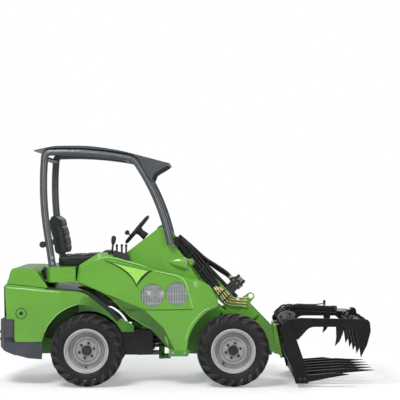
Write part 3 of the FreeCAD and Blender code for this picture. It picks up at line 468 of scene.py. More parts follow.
def grid(rows, cols, base=0):
    """The faces between rows of points, each row as long as cols."""
    faces = []
    for k in range(rows - 1):
        for i in range(cols - 1):
            a = base + k * cols + i
            faces.append((a, a + 1, a + cols + 1, a + cols))
    return faces


def belt(rows, n):
    """The faces of a closed section of n points that runs through the rows, and its two ends."""
    faces = []
    for i in range(rows - 1):
        for k in range(n):
            a, b = i * n + k, i * n + (k + 1) % n
            faces.append((a, b, b + n, a + n))
    return faces + [tuple(range(n))[::-1], tuple((rows - 1) * n + k for k in range(n))]


def rounded(path, per=8):
    """Points along an (x, z) path in mm whose corners have the radius they give."""
    line = [Vector(path[0])]
    for before, corner, after in zip(path, path[1:], path[2:]):
        p, r = Vector(corner[:2]), corner[2]
        a, b = (Vector(before[:2]) - p).normalized(), (Vector(after[:2]) - p).normalized()
        half = a.angle(b) / 2
        centre = p + (a + b).normalized() * (r / math.sin(half))
        reach = r / math.tan(half)
        first, last = (p + a * reach - centre) / r, (p + b * reach - centre) / r
        line += [centre + first.slerp(last, k / per) * r for k in range(per + 1)]
    return line + [Vector(path[-1])]


def tube(name, points, radius, look, body, sides=12, curved=True, ribs=0.0, pitch=7.0):
    """A hose, pipe or wire of the given radius in mm; ribs is the depth of its spiral cover."""
    line = smooth_line(points) if curved else list(points)
    if ribs:
        fine = []
        for a, b in zip(line, line[1:]):
            n = max(1, round((b - a).length * 1000 / (pitch / 2)))
            fine += [a.lerp(b, k / n) for k in range(n)]
        line = fine + [line[-1]]
    verts = []
    up = None
    for i, p in enumerate(line):
        ahead = heading(line, i)
        if up is None:
            _, up, _ = frame_of(ahead)
        up = (up - ahead * up.dot(ahead)).normalized()
        side = ahead.cross(up)
        r = (radius - (ribs if i % 2 else 0.0)) / 1000
        for k in range(sides):
            a = 2 * math.pi * k / sides
            verts.append(p + (up * math.cos(a) + side * math.sin(a)) * r)
    return add(name, verts, belt(len(line), sides), look, body, 60)


def prism(name, outline, y0, y1, look, body, bevel=0.0, place=at):
    """A plate of an (x, z) outline in mm between two levels of Y, its edges rounded."""
    n = len(outline)
    verts = [place(x, z, y0) for x, z in outline] + [place(x, z, y1) for x, z in outline]
    faces = [tuple(range(n)), tuple(range(n, 2 * n))[::-1]]
    faces += [(i, (i + 1) % n, n + (i + 1) % n, n + i) for i in range(n)]
    piece = add(name, verts, faces, look, body)
    if bevel:
        mod = piece.modifiers.new("edge", "BEVEL")
        mod.width = bevel / 1000
        mod.segments = 2
        mod.limit_method = "ANGLE"
        mod.angle_limit = math.radians(25)
    return piece


def strip(name, points, width, y, proud, look, body, taper=False):
    """A flat band along an (x, z) line in mm on a side face, standing proud of it."""
    line, sides = flat_line(points)
    left, right = [], []
    for i, (p, side) in enumerate(zip(line, sides)):
        w = width / 2
        if taper:
            w *= max(0.12, math.sin(math.pi * (0.08 + 0.84 * i / (len(line) - 1))))
        left.append(p + side * w)
        right.append(p - side * w)
    outline = left + right[::-1]
    n = len(line)
    sign = 1 if y > 0 else -1
    levels = (y - sign * 1.0, y + sign * proud)
    verts = [at(p.x, p.y, level) for level in levels for p in outline]
    m = 2 * n
    faces = []
    for base in (0, m):
        for i in range(n - 1):
            faces.append((base + i, base + i + 1, base + m - 2 - i, base + m - 1 - i))
    faces += [(i, (i + 1) % m, m + (i + 1) % m, m + i) for i in range(m)]
    return add(name, verts, faces, look, body)


def seam(name, points, width, y, proud, body="chassis", taper=False):
    """A black seam on a side face."""
    return strip(name, points, width, y, proud, "seam_black", body, taper)


def ridge(name, points, width, y, proud, body="chassis"):
    """A rounded crease pressed out along an (x, z) line in mm on a side face, in a lighter green as
    a painted highlight.
    """
    line, sides = flat_line(points)
    sign = 1 if y > 0 else -1
    verts = []
    shape = ((0.5, -0.6), (0.42, 0.25), (0.2, 0.8), (0, 1.0), (-0.2, 0.8), (-0.42, 0.25),
             (-0.5, -0.6))
    for i, (p, side) in enumerate(zip(line, sides)):
        fade = min(1.0, 0.15 + 4 * min(i, len(line) - 1 - i) / len(line))
        for across, out in shape:
            q = p + side * across * width * (0.4 + 0.6 * fade)
            verts.append(at(q.x, q.y, y + sign * proud * (out if out < 0 else out * fade)))
    return add(name, verts, belt(len(line), len(shape)), "green_painted_highlight", body, 60)


def bolts(name, places, axis, radius, height, look, body):
    """Hexagon heads with a washer, all in one mesh."""
    axis, u, v = frame_of(axis)
    verts, faces = [], []
    for place in places:
        for segs, r, low, high in ((12, radius * 1.35, -1.0, 1.4), (6, radius, 1.4, height)):
            base = len(verts)
            for h, k in ((low, 1.0), (high - 0.8, 1.0), (high, 0.86)):
                for i in range(segs):
                    a = 2 * math.pi * i / segs
                    verts.append(place + (u * math.cos(a) + v * math.sin(a)) * r * k / 1000
                                 + axis * h / 1000)
            for ring in range(2):
                for i in range(segs):
                    j = (i + 1) % segs
                    a0 = base + ring * segs
                    faces.append((a0 + i, a0 + j, a0 + segs + j, a0 + segs + i))
            faces.append(tuple(base + 2 * segs + i for i in range(segs)))
            faces.append(tuple(base + i for i in range(segs))[::-1])
    return add(name, verts, faces, look, body, smooth=20)


# ------------ wheels

LUGS = 20                           # on each half of a tyre


def tread_point(u):
    """A lug's top from the middle outward: radius, width and how far it faces sideways."""
    stops = [(0.0, 292.0, 0.0, 0.0), (0.3, 291.5, 34.0, 0.0), (0.5, 289.0, 64.0, 0.15),
             (0.64, 282.0, 90.0, 0.45), (0.74, 268.0, 107.0, 0.85), (0.88, 246.0, 112.0, 1.0),
             (1.0, 224.0, 111.0, 1.0)]
    for a, b in zip(stops, stops[1:]):
        if u <= b[0]:
            t = (u - a[0]) / (b[0] - a[0])
            return [p + (q - p) * t for p, q in zip(a[1:], b[1:])]
    return stops[-1][1:]


def make_lugs(label, centre, body):
    """Chevron lugs: each one runs from the middle of the tread round onto the side wall; their
    rubber is lighter than the casing's as a painted highlight.
    """
    verts, faces = [], []
    steps = 12
    edges = ((-1.3, 17), (-1.0, 2.2), (-0.8, 0), (0.8, 0), (1.0, 2.2), (1.3, 17))
    across = len(edges)
    for side in (1, -1):
        for n in range(LUGS):
            start = 2 * math.pi * (n + (0.5 if side < 0 else 0.0)) / LUGS
            base = len(verts)
            for k in range(steps + 1):
                u = 0.02 + 0.98 * k / steps
                r, w, lean = tread_point(u)
                turn = start + 0.46 * u ** 0.9
                wide = (0.044 + 0.03 * u) * (0.8 if k == steps else 1.0)
                for off, sink in edges:
                    if k == steps and sink == 0:
                        sink = 9.0
                    a = turn + off * wide
                    rr, ww = r - sink * (1 - lean), side * (w - sink * lean)
                    verts.append(centre + Vector((rr * math.cos(a), ww, rr * math.sin(a))) / 1000)
            faces += grid(steps + 1, across, base)
            ends = [tuple(base + k * across + i for i in range(across)) for k in (0, steps)]
            faces += [ends[0], ends[1][::-1]]
    add(f"tyre_{label}_lugs", verts, faces, "tyre_lug", body, 25)


def make_tyre(label, x, y, body):
    """A tyre's casing and its lugs."""
    centre = at(x, AXLE_Z, y)
    half = [(166, 80), (171, 88), (178, 95), (182, 93), (186, 97), (196, 101.5), (199, 99),
            (203, 102.5), (216, 105), (220, 103.5), (226, 104), (246, 102), (260, 94),
            (269, 82), (273, 64), (275, 34), (276, 0)]
    profile = half + [(r, -w) for r, w in half[-2::-1]]
    carcass = lathe(f"tyre_{label}_casing", profile, centre, (0, 1, 0), "tyre", body, 72,
                    50, True)
    make_lugs(label, centre, body)
    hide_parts(f"tyre_{label}")


def make_wheel_details(label, x, y, body):
    """Nuts, the rim's dished centre and rolled edge, the hub's cap and the tyre's valve; the dish
    is painted darker than the rim as shade, and dark rings at the rim's steps are painted shadow.
    """
    side = 1 if y > 0 else -1
    out = (0, side, 0)
    centre = at(x, AXLE_Z, y)
    ring = []
    for k in range(6):
        nut_x, nut_z = on_circle(x, AXLE_Z, 62, 2 * math.pi * (k + 0.25) / 6)
        ring.append(at(nut_x, nut_z, y + side * 43))
    bolts(f"nuts_{label}", ring, out, 9.5, 12, "black_iron", body)
    # dark rings of painted shadow at the rim's steps
    for n, (r, d) in enumerate(((152, 58), (139, 28.6), (115, 34), (93, 37.2))):
        line = [(r - 1.7, d - 1), (r - 1.3, d + 1), (r + 1.3, d + 1), (r + 1.7, d - 1)]
        lathe(f"rim_line_{label}_{n}", line, centre, out, "rim_shadow", body, 72,
              30, True)
    dish = [(156, 71), (152, 58), (148.5, 49), (146.5, 45), (142.5, 30), (136, 27), (118, 31.5),
            (112, 36.5), (106, 37.5), (98, 35.5), (84, 40), (80, 45.5), (42, 42), (36, 41),
            (36, 30), (100, 24), (148, 24), (157.5, 70)]
    # the dish is painted darker than the rim as shade
    lathe(f"rim_dish_{label}", dish, centre, out, "rim_dish", body, 72, 30, True)
    bead = [(177, 91), (178.5, 95), (175, 99), (169, 98), (165, 92), (160, 79), (157, 76),
            (153, 70), (150, 71), (149, 66), (157, 66), (166, 84), (172, 90)]
    lathe(f"rim_bead_{label}", bead, centre, out, "rim_silver", body, 72, 30, True)
    cap = [(41, 38), (41, 47), (38, 50), (37, 63), (34, 68), (31, 65), (24, 63.5), (22, 68),
           (12, 70), (9, 66), (0.5, 66)]
    lathe(f"hub_{label}", cap, centre, out, "black_iron", body, 32)
    stem_x, stem_z = on_circle(x, AXLE_Z, 128, math.radians(268 if x < 0 else 232))
    stem = at(stem_x, stem_z, y + side * 26)
    tube(f"valve_{label}", [stem, stem + Vector((0, side * 0.018, 0)),
                            stem + Vector((0.004, side * 0.044, -0.006))], 5.5,
         "hose_rubber", body, 10)


# ------------ front chassis

def make_accents(side, tag):
    """Creases, seams and the light panel on one side cover, with a painted shadow along the panel's
    top, painted shade in the crease and ridges painted lighter as highlights.
    """
    y = side * COVER_Y
    prism(f"accent_panel_{tag}", [
        (-383, 994), (-300, 972), (-200, 950), (-100, 925), (-135, 890), (-190, 826),
        (-214, 868), (-250, 912), (-310, 956)], y - side, y + side * 1.2, "accent_green",
        "chassis")
    seam(f"accent_curve_{tag}", [(-450, 1010), (-383, 985), (-300, 940), (-232, 880),
                                 (-205, 840), (-187, 797)], 11, y, 1.6, taper=True)
    seam(f"accent_edge_{tag}", [(-188, 802), (-160, 852), (-110, 905), (-60, 934)], 19, y, 1.8,
         taper=True)
    # painted shadow: a darker green band along the panel's top
    strip(f"top_painted_shadow_{tag}", [(-453, 1014), (-330, 985), (-200, 956), (-90, 930)], 14, y, 1.6,
          "green_paint_dark", "chassis", True)
    # painted shade: a dark green band along the panel's crease
    strip(f"crease_painted_shade_{tag}", [(-330, 617), (-110, 615), (100, 616), (262, 618)], 7, y, 0.9,
          "green_painted_shade", "chassis")
    ridge(f"panel_ridge_{tag}", [(-70, 934), (60, 905), (140, 885), (192, 852), (224, 770),
                                 (262, 630)], 13, y, 3.5)
    ridge(f"top_ridge_{tag}", [(-520, 1012), (-440, 1036), (-330, 1020), (-200, 985),
                               (-100, 956)], 12, y, 3.0)
    arch = [on_circle(AXLE_X, AXLE_Z, 392, math.radians(d)) for d in range(120, 169, 12)]
    ridge(f"arch_ridge_{tag}", arch, 12, y, 3.0)
    for label, x, z in (("rear", -63, 732), ("front", 136, 745)):
        lathe(f"vent_ring_{label}_{tag}", [(97, -3), (99, 1.6), (94, 2.2), (92.5, -5)],
              at(x, z, y), (0, side, 0), "green_paint", "chassis", 56, 35, True)


def make_cover_edges(side, tag):
    """Painted shade on the lower bevel of a side cover, a painted highlight line along its lower
    edge, and the frame's foot below it.
    """
    low = rounded([(69, 300), (-77, 462, 60), (-238, 555, 0.5), (-399, 712, 120), (-440, 733)])
    high = rounded([(115, 297), (31, 466, 60), (-131, 620, 0.5), (-330, 700, 120), (-400, 731)])
    # painted shade laid over the bevel
    verts = [at(p.x, p.y, side * 430) for p in low]
    verts += [at(p.x, p.y, side * 453.5) for p in high]
    add(f"bevel_shade_{tag}", verts, grid(2, len(low)), "bevel_fade", "chassis",
        40)
    # painted highlight line along the bevel's lower edge
    tube(f"cover_highlight_line_{tag}", [at(p.x, p.y, side * 428) for p in low[2:]], 2.8, "green_painted_highlight",
         "chassis", 6, curved=False)
    prism(f"frame_foot_{tag}", [(76, 246), (224, 246), (232, 262), (243, 290), (84, 290)],
          side * 440, side * 451.4, "green_paint_dark", "chassis", 1.5)
    bolts(f"foot_bolts_{tag}", [at(103, 268, side * 451), at(196, 268, side * 451)],
          (0, side, 0), 8, 7, "zinc_grey", "chassis")


def make_lamp_housings(side, tag):
    """The teardrop fairing on the cowl, the marker lens at its front and their seam."""
    y = side * 359
    segs, rings = 28, 12
    turns = [math.pi * i / (segs - 1) for i in range(segs)]
    verts = []
    for k in range(rings + 1):
        t = k / rings
        grow = math.sin(min(1.0, t * 1.08) * math.pi / 2) ** 0.8
        x, z = 58 + 148 * t, 996 - 14 * t
        verts += [at(x, z + 50 * grow * math.cos(a), y + side * 38 * grow * math.sin(a))
                  for a in turns]
    faces = grid(rings + 1, segs) + [tuple(rings * segs + i for i in range(segs))]
    add(f"lamp_fairing_{tag}", verts, faces, "green_paint", "chassis", 40)
    verts = []
    for level, k in ((204, 1.0), (209, 0.97), (212, 0.8), (213, 0.3)):
        verts += [at(level, 982 + 45 * k * math.cos(a), y + side * (1 + 34 * k * math.sin(a)))
                  for a in turns]
    faces = grid(4, segs) + [tuple(3 * segs + i for i in range(segs))]
    add(f"marker_lens_{tag}", verts, faces, "lamp_glass", "chassis", 40)
    seam(f"lamp_seam_{tag}", [(205, 1034), (207, 985), (203, 934)], 7, side * 361, 2.0)


def make_front_lamps():
    """Two lamp housings: a painted shell, a black bezel and a ribbed lens that looks forward."""
    cols, rows = 15, 9
    for side, tag in HANDS:
        low, high = (253, 327) if side > 0 else (-327, -253)
        prism(f"front_lamp_shell_{tag}", [
            (204, 1016), (241, 958), (262, 967), (268, 1002), (258, 1018)], low, high,
            "green_paint", "chassis", 5.0)
        prism(f"front_lamp_bezel_{tag}", [(262, 966), (274, 971), (262, 1017), (257, 1018)],
              low + 2, high - 2, "black_plastic", "chassis", 2.0)
        lens_low, lens_high = low + 7, high - 7
        verts = []
        for i in range(rows):
            t = i / (rows - 1)
            for k in range(cols):
                u = k / (cols - 1)
                bulge = 5.0 * math.sin(math.pi * t) * math.sin(math.pi * u) + 1.0 * (k % 2)
                x, z = 273.5 - 10 * t, 974 + 38 * t
                verts.append(at(x + bulge, z, lens_low + (lens_high - lens_low) * u))
        add(f"front_lamp_lens_{tag}", verts, grid(rows, cols), "lamp_glass", "chassis",
            50)
    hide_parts("front_lamps")


# ------------ rear chassis

def make_fender_trim(side, tag):
    """The black edge that runs down over the rear arch, wider where it falls."""
    y = side * REAR_Y
    path = [(-925, 787), (-780, 777), (-645, 766), (-575, 752), (-515, 716), (-462, 674),
            (-390, 610), (-322, 541)]
    line, ups = flat_line(path, 5)
    verts = []
    for p, up in zip(line, ups):
        deep = 8 + 24 * min(1.0, max(0.0, (p.x + 660) / 120))
        for drop, out in ((3.5, -8), (4.5, 0.5), (1.5, 3.2), (-deep + 3, 3.2), (-deep, 0.4),
                          (-deep, -7)):
            q = p + up * drop
            verts.append(at(q.x, q.y, y + side * out))
    add(f"fender_trim_{tag}", verts, belt(len(line), 6), "seam_black",
        "rear_chassis")


def rear_arc(radius, degrees):
    """Points of an arc round the rear axle in the side view."""
    return [on_circle(-AXLE_X, AXLE_Z, radius, math.radians(d)) for d in degrees]


def make_rear_arch(side, tag):
    """Painted shade on the fender beside the rear arch, a painted shadow along the arch, and its
    raised edge painted lighter as a highlight.
    """
    lip = [(-305, 437), (-218, 437), (-218, 484), (-262, 514), (-322, 535), (-395, 590),
           (-455, 646), (-505, 682), (-560, 712), (-620, 722), (-640, 700), (-650, 660),
           (-650, 615)]
    # a sheet on the fender painted with shade
    prism(f"fender_shade_sheet_{tag}", rear_arc(314, range(100, 27, -6)) + lip, side * 419,
          side * 421.2, "green_shade", "rear_chassis")
    # painted shadow: a crescent along the arch, darkest at its rear end
    shade = rear_arc(314, range(57, 105, 5))
    for d in range(102, 57, -5):
        shade += rear_arc(314 + 1.24 * (d - 57), [d])
    prism(f"arch_shadow_{tag}", shade, side * 420.5, side * 422.2, "arch_fade",
          "rear_chassis")
    ridge(f"arch_edge_{tag}", rear_arc(372, range(104, 162, 6)), 9, side * REAR_Y, 2.5,
          "rear_chassis")


def make_rear_side(side, tag):
    """The filler cap in a recess painted dark as shade, the shut line, the raised line painted
    lighter as a highlight, and the weight's shoulder.
    """
    y = side * REAR_Y
    body = "rear_chassis"
    centre = at(-1119, 584, y)
    # the recess is painted dark as shade
    lathe(f"filler_recess_{tag}", [(46, -3), (45, 1.6), (40, 2.2), (34, -2.5), (20, -5.5)], centre,
          (0, side, 0), "green_painted_shade", body, 44)
    lathe(f"filler_cap_{tag}", [(18, -8), (17.5, -1), (15, 1.5), (6, 2), (5, 0.5), (0.6, 0.5)],
          centre, (0, side, 0), "black_plastic", body, 28)
    seam(f"hood_seam_{tag}", [(-1236, 822), (-1080, 806), (-927, 789)], 5, y, 0.9, body)
    ridge(f"body_ridge_{tag}", [(-1238, 792), (-1080, 777), (-930, 762), (-800, 752)], 15, y,
          3.5, body)
    prism(f"weight_shoulder_{tag}", [(-1180, 392), (-1180, 528), (-1256, 531), (-1268, 470),
                                     (-1256, 392)],
          side * 419, side * 424, "weight_paint", body, 2.0)
    for name, path in (("shoulder_seam", [(-1255, 533), (-1215, 533), (-1177, 532)]),
                       ("shoulder_edge", [(-1177, 360), (-1177, 440), (-1177, 533)])):
        seam(f"{name}_{tag}", path, 6, y, 4.4, body)


def make_rear_inside(side, tag):
    """A sheet inside the wheel well painted with shade, darkest at the bottom, and the edges of the
    grille and lamp at the back.
    """
    body = "rear_chassis"
    well = rear_arc(368, range(88, 172, 6)) + rear_arc(296, range(166, 84, -6))
    # a sheet painted with shade, near black at the bottom
    prism(f"well_shade_sheet_{tag}", well, side * 302.5, side * 304, "well_painted_shade", body)
    prism(f"rear_grille_edge_{tag}", [(-1253, 560), (-1244, 556), (-1249, 806), (-1257, 800)],
          side * 250, side * 421, "black_plastic", body, 2.0)
    prism(f"tail_lamp_{tag}", [(-1256, 652), (-1256, 612), (-1240, 610), (-1240, 654)],
          side * 330, side * 398, "tail_red", body, 3.0)


# ------------ boom

SIDE_HOSES = (
    # each hose's route along the boom as (x, z), its y and its radius
    ([(110, 34), (250, 28), (420, 14), (560, 2), (640, -4)], -80, 13),
    ([(120, 56), (270, 52), (430, 38), (570, 18), (655, 6)], -76, 13),
    ([(130, 20), (280, 6), (430, -10), (560, -20), (636, -18)], -79, 12),
    ([(150, 66), (300, 72), (440, 66), (580, 38), (668, 18)], -72, 13),
)
TOP_HOSES = (
    ([(120, 74), (260, 88), (400, 98), (530, 128), (620, 146), (690, 146)], -40, 13),
    ([(130, 66), (270, 80), (410, 88), (540, 112), (630, 132), (692, 132)], -14, 13),
    ([(120, 72), (260, 84), (400, 94), (530, 122), (620, 142), (690, 142)], 16, 13),
    ([(150, 70), (290, 78), (420, 84), (540, 104), (640, 128), (690, 130)], 40, 12),
)
PIPES = (
    # each steel pipe's route along the boom as (x, z), and its y
    ([(638, -4), (700, -6), (772, -14), (802, -8), (854, 30), (908, 78)], -80),
    ([(634, -20), (700, -26), (782, -35), (816, -28), (868, 10), (926, 60)], -78),
    ([(653, 10), (712, 14), (770, 9), (800, 17), (846, 54), (896, 100)], -76),
    ([(666, 24), (722, 33), (774, 31), (802, 39), (842, 76), (886, 122)], -72),
)
TOWER_HOSES = (
    # x, y and z of the lower end, and the height of the upper end on the boom
    (118, -78, 905, 34), (142, -76, 880, 56), (160, -79, 860, 20), (176, -70, 890, 66),
)
PIVOT_HOSES = (
    # y, z and radius of each hose that crosses the articulation
    (-95, 392, 14), (-118, 360, 13), (-100, 322, 13), (-122, 288, 12), (-72, 342, 14),
    (-66, 306, 14), (-84, 258, 13), (112, 372, 13), (104, 330, 14), (118, 268, 13),
)


def hose(name, route, radius, body, sides=14, ribs=0.7):
    """A ribbed rubber hose along a route."""
    return tube(name, route, radius, "hose_rubber", body, sides, ribs=ribs)


def ferrule(name, x, z, y, r, ahead):
    """The crimped sleeve and nut on a hose's end."""
    lathe(name, [(r - 1, 0), (r + 1.5, 2), (r + 1, 9), (r + 1.8, 11), (r + 1, 13), (r + 1.8, 20),
                 (r - 2, 23), (r - 2, 27), (r, 28), (r, 36), (9, 38), (8, 43)],
          on_boom(x, z, y), ahead, "pipe_zinc", "boom", 20)


def lay_hoses(kind, hoses, sway, wave, back, thin):
    """Hoses that sway along the boom, each with a ferrule set back from its last point."""
    along = on_boom(1, 0) - on_boom(0, 0)
    for n, (route, y, r) in enumerate(hoses):
        line = [on_boom(x, z, y + sway * math.sin(n + x / wave)) for x, z in route]
        hose(f"{kind}_hose_{n}", line, r, "boom")
        x, z = route[-1]
        ferrule(f"{kind}_ferrule_{n}", x - back, z, line[-1].y * 1000, r - thin, along)


def make_boom_pipes():
    """The four steel pipes that carry on from the side hoses, each with its end nut."""
    for n, (route, y) in enumerate(PIPES):
        tube(f"steel_pipe_{n}", [on_boom(x, z, y) for x, z in route], 5.2,
                          "pipe_zinc", "boom", 12)
        x, z = route[-1]
        tip = on_boom(*route[-1]) - on_boom(*route[-2])
        lathe(f"pipe_nut_{n}", [(6, -8), (11, -7), (11.5, -1), (11, 5), (7, 7), (7, 16), (3, 18)],
              on_boom(x, z, y), tip, "pipe_zinc", "boom", 6, 20)
    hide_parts("boom_pipes")


def make_hose_clips():
    """Two clips over the steel pipes and two straps over the side hoses."""
    for n, x in enumerate((712, 772)):
        prism(f"pipe_clip_{n}", [(x - 5, -42), (x + 5, -42), (x + 5, 42), (x - 5, 42)], -90, -62,
              "black_iron", "boom", 2.0, place=on_boom)
    for n, (x, z) in enumerate(((300, 84), (455, 92))):
        rim = [(x - 9, -28 - n * 6), (x + 9, -28 - n * 6), (x + 9, z), (x - 9, z)]
        prism(f"hose_strap_{n}", rim, -97, -94, "seam_black", "boom", 1.0,
              place=on_boom)


def make_tower_hoses():
    """The hoses that bend between the chassis and the boom, one to each side hose."""
    for n, (x, y, z0, z1) in enumerate(TOWER_HOSES):
        start, end = at(x, z0, y), on_boom(SIDE_HOSES[n][0][0][0], z1, y)
        route = [start, at(x - 6, z0 + 90, y - 3), at(x - 20, z0 + 170, y - 5),
                 end.lerp(at(x - 20, z0 + 200, y), 0.35), end]
        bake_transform(hose(f"tower_hose_{n}", route, 13, None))


def make_loop():
    """The hoses that turn back on the boom's top and feed the inner tube."""
    z = 65.5
    for n, (y, last) in enumerate(((24, 818), (-24, 828))):
        turn = [on_boom(331 - 20 * math.sin(a), z, y * math.cos(a))
                for a in (math.pi / 2, math.pi / 3, math.pi / 6, 0)]
        run = [on_boom(x, z, y) for x in (360, 450, 560, 680, 800, last)]
        hose(f"loop_hose_{n}", turn + run, 15.5, "boom", 16, 0.8)
    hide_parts("hose_loop")


def make_pivot_hoses():
    """Hoses that cross the articulation."""
    for n, (y, z, r) in enumerate(PIVOT_HOSES):
        out = math.copysign(1, y)
        route = [at(-215, z, y + out * 34), at(-150, z + 6, y + out * 38),
                 at(-80, z + 26, y + out * 30), at(-20, z + 34, y + out * 26),
                 at(40, z + 30, y + out * 24), at(92, z + 18 - 8 * (n % 4), y + out * 20)]
        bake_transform(hose(f"pivot_hose_{n}", route, r, None, 12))


# ------------ valve block and tool

def make_couplings():
    """Quick couplings on top of the valve block, and the plugs in its side."""
    up = on_boom(0, 1) - on_boom(0, 0)
    for n, (y, x) in enumerate((y, x) for y in (-30, 10) for x in (710, 740, 770)):
        lathe(f"coupling_{n}", [(12.5, -2), (13.5, 0), (13.5, 6), (12, 8), (12, 12), (14, 13),
                                (14, 20), (9, 22), (8, 28), (5, 29), (0.5, 26)],
              on_boom(x, 182, y), up, "zinc_grey" if n % 2 else "black_iron", "boom", 20)
    for n, x in enumerate((700, 742, 780)):
        lathe(f"block_plug_{n}", [(9, -2), (9, 4), (7, 6), (4, 6), (3, 3), (0.5, 3)],
              on_boom(x, 145, -54), (0, -1, 0), "zinc_grey", "boom", 6, 20)


def make_tool_details():
    """Ports, hoses, bolts and pins of the fork and its jaw."""
    body = "clamp_barrel"
    lathe("clamp_port", [(9, -4), (9, 18), (12, 19), (12, 30), (8, 32), (8, 40)],
          at(1363, 620), (0, 0, 1), "black_iron", body, 20)
    lathe("clamp_gland", [(28, 0), (30, 2), (30, 12), (28.5, 14), (30, 16), (30, 24), (27, 26)],
          at(1440, 584), (1, 0, -0.05), "black_iron", body, 28)
    tube("clamp_pipe", [at(1363, 628), at(1338, 629), at(1290, 623), at(1200, 623), at(1140, 626),
                        at(1112, 620)], 5, "worn_steel", body, 12)
    for side, tag in HANDS:
        lathe(f"jaw_pin_head_{tag}", [(20, -2), (20, 3), (17, 6), (9, 6), (8, 4), (0.5, 4)],
              at(1030, 495, side * 525), (0, side, 0), "tool_paint", "tool", 28)
        prism(f"hinge_gusset_{tag}", [(949, 541), (983, 575), (1047, 590), (1106, 570), (1096, 526),
                                      (1028, 482), (1013, 457), (968, 501)],
              side * 203, side * 209, "worn_steel", "tool", 2.0)
        for name, places, y in (("gusset_bolts", ((985, 540), (1060, 560)), 209),
                                ("tool_bolts", ((1118, 72), (1154, 72)), 525)):
            bolts(f"{name}_{tag}", [at(x, z, side * y) for x, z in places], (0, side, 0), 9, 8,
                  "black_iron", "tool")
        for n, z in enumerate((505, 540)):
            start = at(985, 440 + 30 * n, side * (90 + 14 * n))
            route = [start, at(975, z + 10, side * (96 + 14 * n)),
                     at(1010, z + 62, side * (88 + 10 * n)), at(1050, z + 70, side * 70),
                     at(1085, 618 - 10 * n, side * (40 + 8 * n))]
            hose(f"tool_hose_{tag}_{n}", route, 8, "tool", 12, 0.5)


# ------------ cab

def make_controls():
    """Lever knobs, the joystick and the knob on the steering wheel."""
    stick = at(-395, 1062, -330)
    for n, x in enumerate((-350, -310, -275)):
        lathe(f"lever_knob_{n}", [(5, -6), (9, 0), (11, 8), (9, 16), (3, 19)],
              at(x, 1122, -400), (0, 0, 1), "black_plastic", "chassis", 18)
    lathe("joystick_boot", [(30, -6), (27, 4), (22, 6), (21, 14), (16, 16), (14, 26), (8, 30)],
          stick, (0, 0, 1), "hose_rubber", "chassis", 24)
    lathe("joystick_grip", [(8, 26), (8, 70), (14, 82), (18, 96), (20, 122), (17, 138),
                            (6, 146)], stick, (0.12, 0.03, 1), "black_plastic", "chassis",
          22)
    lathe("spinner_knob", [(6, -14), (6, 2), (16, 6), (21, 16), (19, 30), (8, 37)],
          at(-269.3, 1215.8, -118), (-0.766, 0, 0.643), "black_plastic", "steering_wheel",
          24)


def make_canopy_details():
    """A painted highlight line along each canopy tube's side, and the lamp and bolts on its post.
    """
    path = rounded([(80, 1146), (1, 1510, 1750), (-211, 1832, 110), (-560, 1893, 2700),
                    (-930, 1882, 45), (-957, 1535, 2500), (-871, 972)])
    for side, tag in HANDS:
        # painted highlight line along the tube
        tube(f"canopy_highlight_line_{tag}", [at(p.x, p.y, side * 420.6) for p in path], 2.6,
             "grey_painted_highlight", "chassis", 6, curved=False)
        lathe(f"post_lamp_{tag}", [(12, -30), (22, -28), (26, -22), (26, 14), (22, 20), (5, 22)],
              at(-948, 1137, side * 391), (0, side, 0), "black_plastic", "chassis", 28)
        bolts(f"post_bolts_{tag}", [at(-868, z, side * 423) for z in (985, 1030)], (0, side, 0),
              8, 7, "zinc_grey", "chassis")


PAD_CROWN = 0.014               # the most that a cushion swells, in metres


def places_of(piece):
    """The place of each vertex, one row each."""
    return np.array([v.co[:] for v in piece.data.vertices])


def apply_only(piece, name):
    """Select one piece alone and apply its modifier."""
    bpy.context.view_layer.objects.active = piece
    for o in bpy.context.selected_objects:
        o.select_set(False)
    piece.select_set(True)
    bpy.ops.object.modifier_apply(modifier=name)


def blow_up(piece):
    """Let a cushion swell as cloth under pressure."""
    cloth = piece.modifiers.new("cloth", "CLOTH")
    cloth.settings.use_pressure = True
    cloth.settings.uniform_pressure_force = 4.0
    cloth.settings.effector_weights.gravity = 0.0
    cloth.settings.tension_stiffness = 25
    cloth.settings.bending_stiffness = 1.5
    for step in range(1, 21):
        bpy.context.scene.frame_set(step)
    bpy.ops.object.modifier_apply(modifier="cloth")
    bpy.context.scene.frame_set(1)


def sew(now, seams):
    """Press the seams in on the outer half of a cushion.

    A seam is a point on it, the way across it, the way outward, its depth and its width."""
    for place, across, outward, depth, width in seams:
        off = (now - np.array(place)) @ np.array(across)
        dip = depth / 1000 * np.exp(-(off / (width / 1000)) ** 2)
        outer = ((now - now.mean(axis=0)) @ np.array(outward)) > 0
        now = now - np.array(outward)[None, :] * dip[:, None] * outer[:, None]
    return now


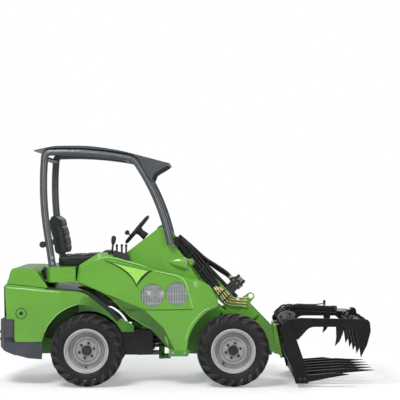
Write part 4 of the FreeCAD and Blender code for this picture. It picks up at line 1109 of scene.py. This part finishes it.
def soft_pad(name, outline, half_width, node, seams):
    """A crowned cushion: its outline is blown up as cloth, then its seams are sewn in."""
    piece = prism(name, outline, -half_width, half_width, "seat_vinyl", None, 0.0)
    remesh = piece.modifiers.new("remesh", "REMESH")
    remesh.mode = "VOXEL"
    remesh.voxel_size = 0.0062
    apply_only(piece, "remesh")
    rest = places_of(piece)
    blow_up(piece)
    move = places_of(piece) - rest
    length = np.linalg.norm(move, axis=1, keepdims=True)
    now = rest + move * np.minimum(1.0, PAD_CROWN / np.maximum(length, 1e-9))
    for v, co in zip(piece.data.vertices, sew(now, seams)):
        v.co = co
    smooth = piece.modifiers.new("smooth", "SUBSURF")
    smooth.levels = smooth.render_levels = 1
    for poly in piece.data.polygons:
        poly.use_smooth = True
    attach(piece, "chassis")
    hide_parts(node)


def make_seat():
    """The soft seat cushion and backrest, each with seams along and across it."""
    seams = [((at(x, 1000)[0], 0, 1.0), (1, 0, 0), (0, 0, 1), 7, 7) for x in (-760, -640, -520)]
    seams += [((0, y, 1.0), (0, 1, 0), (0, 0, 1), 6, 7) for y in (-0.15, 0.15)]
    soft_pad("seat_cushion_soft", [(-850, 963), (-440, 963), (-424, 1000), (-430, 1030),
                                   (-460, 1046), (-640, 1036), (-850, 1026)], 222,
             "seat_cushion", seams)
    seams = [((0, 0, z), (0, 0, 1), (1, 0, 0), 6, 7) for z in (1.12, 1.2, 1.28)]
    seams += [((0, y, 1.0), (0, 1, 0), (1, 0, 0), 6, 7) for y in (-0.14, 0.14)]
    soft_pad("seat_back_soft", [(-856, 1046), (-786, 1050), (-788, 1110), (-802, 1200),
                                (-832, 1310), (-846, 1360), (-880, 1375), (-902, 1368),
                                (-918, 1330), (-880, 1180)], 212, "seat_backrest", seams)


# ------------ whole machine

for end, x in (("front", AXLE_X), ("rear", -AXLE_X)):
    for hand, y in (("left", WHEEL_Y), ("right", -WHEEL_Y)):
        make_tyre(f"{end}_{hand}", x, y, f"wheel_{end}_{hand}")
        make_wheel_details(f"{end}_{hand}", x, y, f"wheel_{end}_{hand}")
for side, tag in HANDS:
    make_accents(side, tag)
    make_cover_edges(side, tag)
    make_lamp_housings(side, tag)
    make_fender_trim(side, tag)
    make_rear_arch(side, tag)
    make_rear_side(side, tag)
    make_rear_inside(side, tag)
make_front_lamps()
lay_hoses("side", SIDE_HOSES, sway=3, wave=90, back=6, thin=0)
lay_hoses("top", TOP_HOSES, sway=4, wave=70, back=34, thin=2)
make_boom_pipes()
make_hose_clips()
make_tower_hoses()
make_loop()
make_pivot_hoses()
make_couplings()
make_tool_details()
make_controls()
make_canopy_details()
make_seat()
